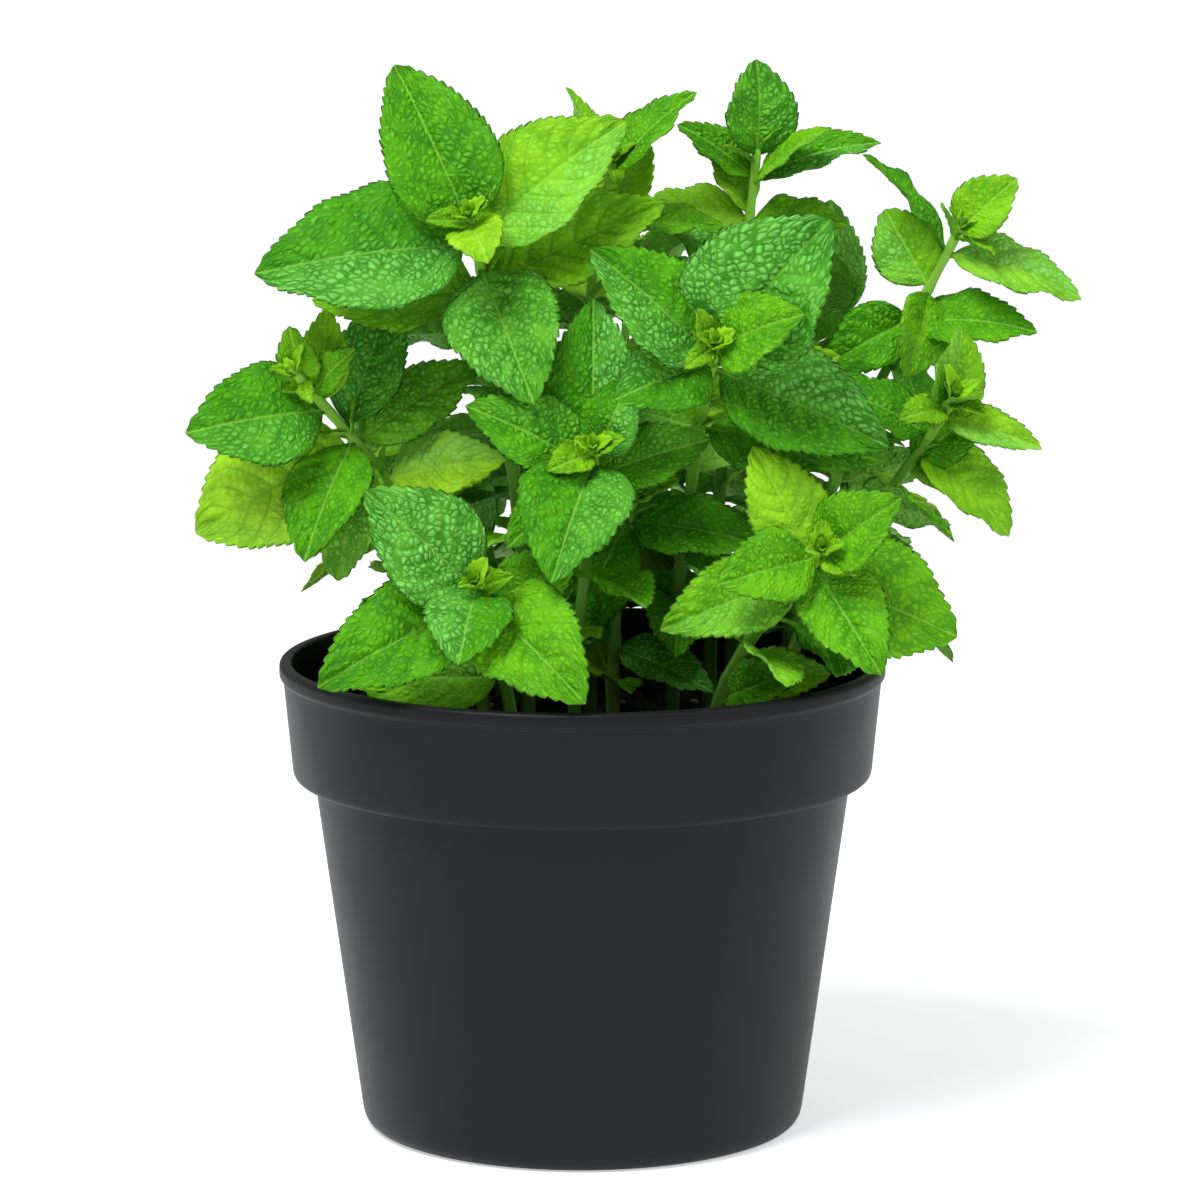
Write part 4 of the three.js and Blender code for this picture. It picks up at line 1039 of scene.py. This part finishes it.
def stem_skin(shoot, stem, nodes):
    """Rings up the stem: radius = half side / sixth-power mean of cosine and sine, which is a rounded
    square, hollowed by 8 % at the middle of each face and swollen by a fifth round every node."""
    drops = np.linspace(stem["total"], 0, int(stem["total"] / STEM_STEP))
    centres = np.concatenate([[[*shoot["root"], SOIL_TOP - STEM_DEPTH * 0.9]], on_stem(stem, drops)])
    ways = np.concatenate([[UP, UP], way_of_stem(stem, drops[1:])])
    drops = np.concatenate([[stem["total"] + STEM_DEPTH], drops])
    sides = [np.array([1.0, 0, 0])]
    for way in ways:
        sides.append(unit(square_to(sides[-1], way)))
    sides = np.array(sides[1:])
    others = np.cross(ways, sides)
    half = between((STEM_HALF_TIP, STEM_HALF_FOOT), np.clip(drops / stem["total"], 0, 1))
    half = half * (1 + NODE_SWELL * np.exp(-(((drops[:, None] - nodes) / NODE_MM) ** 2)).max(axis=1))
    angle = FULL_TURN * np.arange(STEM_AROUND) / STEM_AROUND
    square = (np.abs(np.cos(angle)) ** 6 + np.abs(np.sin(angle)) ** 6) ** (-1 / 6)
    square = square * (1 - FACE_HOLLOW * np.cos(2 * angle) ** 2)
    radius = half[:, None] * square
    rings = centres[:, None] + (radius * np.cos(angle))[..., None] * sides[:, None]
    rings = rings + (radius * np.sin(angle))[..., None] * others[:, None]
    ones = np.ones(radius.shape)
    run = ones * (drops / stem["total"])[:, None]
    veins = np.stack([ones * drops[:, None], np.abs(np.sin(2 * angle)) * ones, 0 * ones], axis=-1)
    form = np.stack([ones, ones, run], axis=-1)
    tone = np.stack([run, 0.5 * ones, ones], axis=-1)
    place = np.stack([ones * drops[:, None] / UV_MM, np.abs(np.sin(angle / 2)) * ones / 10], axis=-1)
    tip = on_stem(stem, 0) + 0.6 * ways[-1]
    return closed_skin(rings, centres[0] - UP, tip, veins=veins, form=form, tone=tone, uv=place)


print("stem rings:", STEM_STEP, "mm apart, with", STEM_AROUND, "points each")

# %% [markdown]
# ## The leaf's finish
#
# A fresh mint leaf is a mid green with some yellow in it. On some halves of the older leaves a pale, slightly
# blue sheen is painted on the top of each puffed cell: a painted highlight. Young leaves at the tips are
# yellow-green, undersides are paler and duller, the midrib is a light line, and old leaves are a deeper green.
# The side veins and the grooves between the cells are painted a darker green as painted shade. Light also
# comes through the leaf, which subsurface gives. The veins' attribute draws lines that follow each blade.
# Cells too fine for the mesh come from a Voronoi pattern in the veins' own coordinates, about two rows from
# one side vein to the next and 1.8 mm along it, so that the rows run out along the side veins, and each half
# of a leaf has its own. The skin's grain is 0.25 mm, drawn twice as coarse so that it shows. A leaf that grew
# in shade is lighter, thinner and less puffed, so the draw that makes a leaf light also weakens its relief and
# its painted groove shade.

# %% Fresh mint leaf
PATCH_MM = 9.0
VEIN_WANDER = 0.125
# a range stretched to another with a soft start and end
SMOOTH = {"interpolation_type": "SMOOTHSTEP"}
leaf_skin, shader = new_material("mint leaf, fresh and waxy")
veins, form, tone = [
    add_node(leaf_skin, "Attribute", attribute_name=name)["Vector"] for name in ("veins", "form", "tone")
]
vein_count, painted_sheen_share, vein_run = add_node(leaf_skin, "SeparateXYZ", veins)
cell_height, edge_share, off_midrib = add_node(leaf_skin, "SeparateXYZ", form)
age, lightness, upper_side = add_node(leaf_skin, "SeparateXYZ", tone)
surface = add_node(leaf_skin, "UVMap", uv_map="surface")["UV"]
slow = add_node(leaf_skin, "TexNoise", surface, Scale=UV_MM / PATCH_MM, Detail=3.0)["Fac"]
wander = add_node(leaf_skin, "MapRange", slow, 0.0, 1.0, -VEIN_WANDER, VEIN_WANDER)["Result"]
wandering = add_node(leaf_skin, "Math", vein_count, wander, operation="ADD")["Value"]
to_vein = add_node(leaf_skin, "Math", wandering, 0.5, operation="PINGPONG")["Value"]
side_vein = add_node(leaf_skin, "MapRange", to_vein, 0.0, 0.1, 1.0, 0.0, **SMOOTH)["Result"]
to_midrib = add_node(leaf_skin, "Math", off_midrib, operation="ABSOLUTE")["Value"]
midrib = add_node(leaf_skin, "MapRange", to_midrib, 0.1, 0.5, 1.0, 0.0, **SMOOTH)["Result"]
print("finish:", leaf_skin.name)

# %% Puffed cells
CELL_ROWS = 2.2
CELL_MM = 1.8
# far enough apart in the pattern that no two halves and no two leaves show the same cells
OTHER_HALF = 37.0
NEXT_LEAF = 90.0
LEAF_GRAIN_MM = 0.5
right_half = add_node(leaf_skin, "Math", off_midrib, 0.0, operation="GREATER_THAN")["Value"]
half_shift = add_node(leaf_skin, "Math", right_half, OTHER_HALF, operation="MULTIPLY")["Value"]
leaf_shift = add_node(leaf_skin, "Math", lightness, NEXT_LEAF, operation="MULTIPLY")["Value"]
cell_row = add_node(leaf_skin, "Math", vein_count, CELL_ROWS, half_shift, operation="MULTIPLY_ADD")["Value"]
cell_step = add_node(leaf_skin, "Math", vein_run, 1 / CELL_MM, leaf_shift, operation="MULTIPLY_ADD")["Value"]
cell_place = add_node(leaf_skin, "CombineXYZ", cell_row, cell_step)["Vector"]
cells = add_node(
    leaf_skin, "TexVoronoi", cell_place, feature="DISTANCE_TO_EDGE", Scale=1.0, Randomness=0.75
)["Distance"]
puffed = add_node(leaf_skin, "MapRange", cells, 0.0, 0.5, **SMOOTH)["Result"]
floor_of_cell = add_node(leaf_skin, "MapRange", cells, 0.0, 0.2, **SMOOTH)["Result"]
on_cell = add_node(leaf_skin, "MapRange", cell_height, 0.0, 0.45, 0.25, 1.0, **SMOOTH)["Result"]
top_of_cell = add_node(leaf_skin, "Math", floor_of_cell, on_cell, operation="MULTIPLY")["Value"]
quilting = add_node(leaf_skin, "MapRange", lightness, 0.3, 0.9, 1.0, 0.35, **SMOOTH)["Result"]
skin_grain = add_node(leaf_skin, "TexNoise", surface, Scale=UV_MM / LEAF_GRAIN_MM, Detail=2.0)["Fac"]
print("cells along a side vein:", CELL_MM, "mm")

# %% Leaf colours
leaf_greens = [(0.0, "#50a800"), (0.4, "#66b904"), (0.7, "#82c90a"), (1.0, "#a6d922")]
colour = add_node(leaf_skin, "ValToRGB", lightness, stops=leaf_greens)["Color"]
youth = add_node(leaf_skin, "MapRange", age, 0.2, 0.8, 0.8, 0.0, **SMOOTH)["Result"]
patchy = add_node(leaf_skin, "MapRange", slow, 0.38, 0.66, 0.0, 0.35, **SMOOTH)["Result"]
# painted highlight: a pale, slightly blue sheen painted on each cell's top, on the halves the sheen draws pick
painted_sheen_on_cell = add_node(leaf_skin, "MapRange", top_of_cell, 0.0, 1.0, 0.2, 0.85, **SMOOTH)["Result"]
painted_sheen = add_node(leaf_skin, "Math", painted_sheen_share, painted_sheen_on_cell, operation="MULTIPLY")["Value"]
# painted shade: the grooves between the puffed cells are painted a darker green, more on old leaves and in
# patches, less on light leaves
groove = add_node(leaf_skin, "Math", 1.0, top_of_cell, operation="SUBTRACT")["Value"]
groove_shade_of_age = add_node(leaf_skin, "MapRange", age, 0.1, 0.7, 0.25, 0.78, **SMOOTH)["Result"]
groove_shade_of_patch = add_node(leaf_skin, "MapRange", slow, 0.3, 0.6, 0.4, 1.0, **SMOOTH)["Result"]
for weight in (groove_shade_of_age, groove_shade_of_patch, quilting):
    groove = add_node(leaf_skin, "Math", groove, weight, operation="MULTIPLY")["Value"]
# painted shade along the sunken side veins, a darker green line
painted_vein_shade = add_node(leaf_skin, "Math", side_vein, 0.3, operation="MULTIPLY")["Value"]
midrib_line = add_node(leaf_skin, "Math", midrib, 0.35, operation="MULTIPLY")["Value"]
margin = add_node(leaf_skin, "MapRange", edge_share, 0.93, 1.0, 0.0, 0.35, **SMOOTH)["Result"]
underside = add_node(leaf_skin, "MapRange", upper_side, 0.4, 0.1, 0.0, 0.55, **SMOOTH)["Result"]
tints = [
    (youth, "#9cdc14"), (patchy, "#3c8e00"), (painted_sheen, "#84d664"), (groove, "#1d6a00"),
    (painted_vein_shade, "#2c7c08"), (midrib_line, "#a4d852"), (margin, "#3c5a10"), (underside, "#84bf52"),
]
for amount, tint in tints:
    colour = add_node(leaf_skin, "MixRGB", amount, colour, linear(tint))["Color"]
print("tints over the leaf's green:", len(tints))

# %% Leaf relief and sheen
GRAIN_SHARE = 0.1
on_vein = add_node(leaf_skin, "Math", side_vein, midrib, operation="MAXIMUM")["Value"]
off_vein = add_node(leaf_skin, "MapRange", on_vein, 0.0, 1.0, 1.0, 0.4)["Result"]
relief = add_node(leaf_skin, "Math", puffed, off_vein, operation="MULTIPLY")["Value"]
relief = add_node(leaf_skin, "Math", relief, quilting, operation="MULTIPLY")["Value"]
relief = add_node(leaf_skin, "Math", skin_grain, GRAIN_SHARE, relief, operation="MULTIPLY_ADD")["Value"]
leaf_bump = add_node(leaf_skin, "Bump", Height=relief, Strength=1.0, Distance=0.8 * MM)["Normal"]
leaf_sheen = add_node(leaf_skin, "MapRange", puffed, 0.0, 1.0, 0.66, 0.36, **SMOOTH)["Result"]
set_up(
    shader, Base_Color=colour, Roughness=leaf_sheen, Normal=leaf_bump, IOR=1.42, Specular_IOR_Level=0.28,
    Subsurface_Weight=0.2, Subsurface_Radius=(0.35, 1.0, 0.1), Subsurface_Scale=0.6 * MM,
)
print("nodes in the leaf's finish:", len(leaf_skin.node_tree.nodes))

# %% [markdown]
# ## The stem's finish
#
# The stem is smooth green tissue, lighter than the leaves, and turns a duller olive near the soil. Fine ribs
# run along it, 0.5 mm apart: noise drawn out along the plant's height, as the stems are nearly upright.

# %% Green mint stem
RIBS_PER_METRE = (2000, 2000, 120)
stem_finish, shader = new_material("mint stem, smooth green")
stem_tones = add_node(stem_finish, "Attribute", attribute_name="tone")["Vector"]
down_stem = add_node(stem_finish, "SeparateXYZ", stem_tones)["X"]
stem_greens = [(0.0, "#8cc63a"), (0.4, "#6fae2c"), (1.0, "#55802a")]
stem_colour = add_node(stem_finish, "ValToRGB", down_stem, stops=stem_greens)["Color"]
place = add_node(stem_finish, "TexCoord")["Object"]
along_stem = add_node(stem_finish, "Mapping", place, Scale=RIBS_PER_METRE)["Vector"]
ribs = add_node(stem_finish, "TexNoise", along_stem, Scale=1.0, Detail=2.0)["Fac"]
stem_bump = add_node(stem_finish, "Bump", Height=ribs, Strength=0.4, Distance=0.2 * MM)["Normal"]
set_up(
    shader, Base_Color=stem_colour, Roughness=0.42, Normal=stem_bump, IOR=1.42,
    Subsurface_Weight=0.2, Subsurface_Radius=(0.4, 1.0, 0.15), Subsurface_Scale=1.0 * MM,
)
print("finish:", stem_finish.name)

# %% [markdown]
# ## Buds and axil leaves
#
# Each stem ends in a tuft of tiny folded leaves, and many of its lower leaves have a small side shoot's first
# leaf in the angle between leaf and stem. The CAD part leaves them out as too fine for it: those of a tuft
# are 4 to 10 mm long and the others 7 to 12. They grow by the same leaf form: two pairs at the tip, and one
# little leaf over some of the large ones.


# %% Tiny leaves
# drop below the tip, length and angle off the stem for each leaf of a tuft
BUD_LEAVES = [(0.6, 8.5, 38), (0.6, 7.5, 42), (0.1, 5.5, 20), (0.1, 5.0, 24)]
BUD_STRETCH, BUD_SHARE, BUD_AGE, BUD_SEED = (0.85, 1.2), (0.6, 0.75), 0.15, 200
AXIL_LENGTH, AXIL_SHARE, AXIL_AGE, AXIL_SEED = (7, 12), (0.5, 0.65), 0.3, 300
AXIL_OVER_LENGTH, AXIL_BELOW, AXIL_CHANCE = 26, 10, 0.6


def bud_leaves(index, shoot, stem):
    """Two pairs round the tip: four leaves a quarter turn apart in pairs, close to the stem's own way."""
    axis = way_of_stem(stem, 0.5)
    leaves = []
    for k, (drop, length, pitch) in enumerate(BUD_LEAVES):
        around = 180 * (k % 2) + 90 * (k // 2) + 50 * draw(index, k, 31)
        along = off_axis(axis, aim(90, 20), around, pitch + 12 * (draw(index, k, 32) - 0.5))
        length = length * between(BUD_STRETCH, draw(index, k, 33))
        share = between(BUD_SHARE, draw(index, k, 34))
        leaf = make_leaf(on_stem(stem, drop), axis, along, 0, length, share, (index, BUD_SEED + k))
        leaves.append((leaf, BUD_AGE))
    return leaves


def axil_leaves(index, stem, own):
    """Over six in ten of the large leaves, one small leaf halfway between that leaf and the stem."""
    leaves = []
    for k, placed in enumerate(own):
        big = placed["leaf"]
        too_small = big["length"] < AXIL_OVER_LENGTH or placed["drop"] < AXIL_BELOW
        if too_small or draw(index, k, 41) > AXIL_CHANCE:
            continue
        axis = way_of_stem(stem, placed["drop"])
        along = unit(axis + 0.9 * unit(square_to(big["along"], axis)))
        length = between(AXIL_LENGTH, draw(index, k, 42))
        base = on_stem(stem, placed["drop"] - 1.2)
        share = between(AXIL_SHARE, draw(index, k, 43))
        leaf = make_leaf(base, axis, along, 0, length, share, (index, AXIL_SEED + k))
        leaves.append((leaf, AXIL_AGE))
    return leaves


print("leaves in each tip's tuft:", len(BUD_LEAVES))

# %% Grow the shoots
GROWN_MM = 36
grown_pieces = []
for index, (name, shoot) in enumerate(SHOOTS.items()):
    stem = stems[name]
    own = [leaf for leaf in placed_leaves if leaf["shoot"] == index]
    fine = not name.startswith("back")
    nodes = np.array([leaf["drop"] for leaf in own] or [3.0])
    stalk = stem_skin(shoot, stem, nodes)
    leaves = [(leaf["leaf"], float(np.clip(leaf["leaf"]["length"] / GROWN_MM, 0, 1))) for leaf in own]
    blades = [blade_skin(leaf, fine, age) for leaf, age in leaves]
    tiny = bud_leaves(index, shoot, stem) + axil_leaves(index, stem, own)
    blades += [blade_skin(leaf, False, age) for leaf, age in tiny]
    whole = joined([stalk] + blades)
    is_leaf_quad = np.arange(len(whole["quads"])) >= len(stalk["quads"])
    is_leaf_triangle = np.arange(len(whole["triangles"])) >= len(stalk["triangles"])
    is_leaf = np.concatenate([is_leaf_quad, is_leaf_triangle])
    piece = add_piece("grown_" + name, whole, [stem_finish, leaf_skin], is_leaf)
    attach(piece, "root")
    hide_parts("shoot_" + name)
    grown_pieces.append(piece)
counts = [triangle_count(piece) for piece in grown_pieces]
print("shoot triangles:", sum(counts), "the largest:", max(counts))

# %% [markdown]
# ## Floor, light and camera
#
# A studio shows a white ground by lighting it apart from the object, so the floor here is a plain sheet that
# glows a little, and the white room gives the object less light than it shows the camera. One broad cool
# lamp above and to the left models the leaves and leaves the plant's inside dark, and a weak one fills. The
# camera was fitted to the pot's rim, shelf and foot: 1.6 m away, a little above the plant, looking down 9.75
# degrees through a long lens.

# %% Floor
FLOOR_RADIUS = 900.0
FLOOR_AROUND = 96
floor_paint, shader = new_material("white acrylic sheet, lit from below")
place = add_node(floor_paint, "TexCoord")["Object"]
haze = add_node(floor_paint, "TexNoise", place, Scale=40.0, Detail=2.0)["Fac"]
sheet_tone = add_node(floor_paint, "ValToRGB", haze, stops=[(0.3, "#f4f4f4"), (0.7, "#f8f8f8")])["Color"]
set_up(
    shader, Base_Color=sheet_tone, Roughness=0.8, Specular_IOR_Level=0.2,
    Emission_Color=linear("#ffffff"), Emission_Strength=0.5,
)
angle = FULL_TURN * np.arange(FLOOR_AROUND) / FLOOR_AROUND
rim = FLOOR_RADIUS * np.column_stack([np.cos(angle), np.sin(angle), 0 * angle])
floor_mesh = bpy.data.meshes.new("floor")
floor_mesh.from_pydata((rim * MM).tolist(), [], [tuple(range(FLOOR_AROUND))])
floor_mesh.materials.append(floor_paint)
floor = bpy.data.objects.new("floor", floor_mesh)
bpy.context.scene.collection.objects.link(floor)
print("floor:", 2 * FLOOR_RADIUS, "mm across")

# %% Light
ROOM_SEEN = 1.0
ROOM_LIGHT = 0.36
AIM_MM = (0, 0, 170)
world = bpy.data.worlds.new("white room")
world.use_nodes = True
bpy.context.scene.world = world
seen = add_node(world, "LightPath")["Is Camera Ray"]
strength = add_node(world, "MapRange", seen, 0.0, 1.0, ROOM_LIGHT, ROOM_SEEN)["Result"]
set_up(world.node_tree.nodes["Background"], Color=linear("#ffffff"), Strength=strength)


def soft_lamp(name, place_mm, size_mm, watts, colour):
    """A square area lamp that looks at the middle of the plant."""
    light = bpy.data.lights.new(name, "AREA")
    light.size = size_mm * MM
    light.energy = watts
    light.color = linear(colour)[:3]
    lamp = bpy.data.objects.new(name, light)
    lamp.location = np.array(place_mm) * MM
    away = Vector(AIM_MM) * MM - lamp.location
    lamp.rotation_euler = away.to_track_quat("-Z", "Y").to_euler()
    bpy.context.scene.collection.objects.link(lamp)


soft_lamp("key", (-500, -700, 1500), 800, 27, "#f6faff")
soft_lamp("fill", (1100, -500, 800), 900, 5, "#f0f6ff")
print("lamps: key and fill, and the room lights at", ROOM_LIGHT)

# %% Camera
LENS_MM = 183.96
SENSOR_MM = 36
CAMERA_AT = (0.00467, -1.594, 0.4144)
LOOKS_DOWN = 9.75
camera_data = bpy.data.cameras.new("camera")
camera_data.lens = LENS_MM
camera_data.sensor_width = SENSOR_MM
camera = bpy.data.objects.new("camera", camera_data)
camera.location = CAMERA_AT
camera.rotation_euler = (np.radians(90 - LOOKS_DOWN), 0, 0)
bpy.context.scene.collection.objects.link(camera)
bpy.context.scene.camera = camera
bpy.context.scene.view_settings.view_transform = "Standard"
print("camera lens:", LENS_MM, "mm")
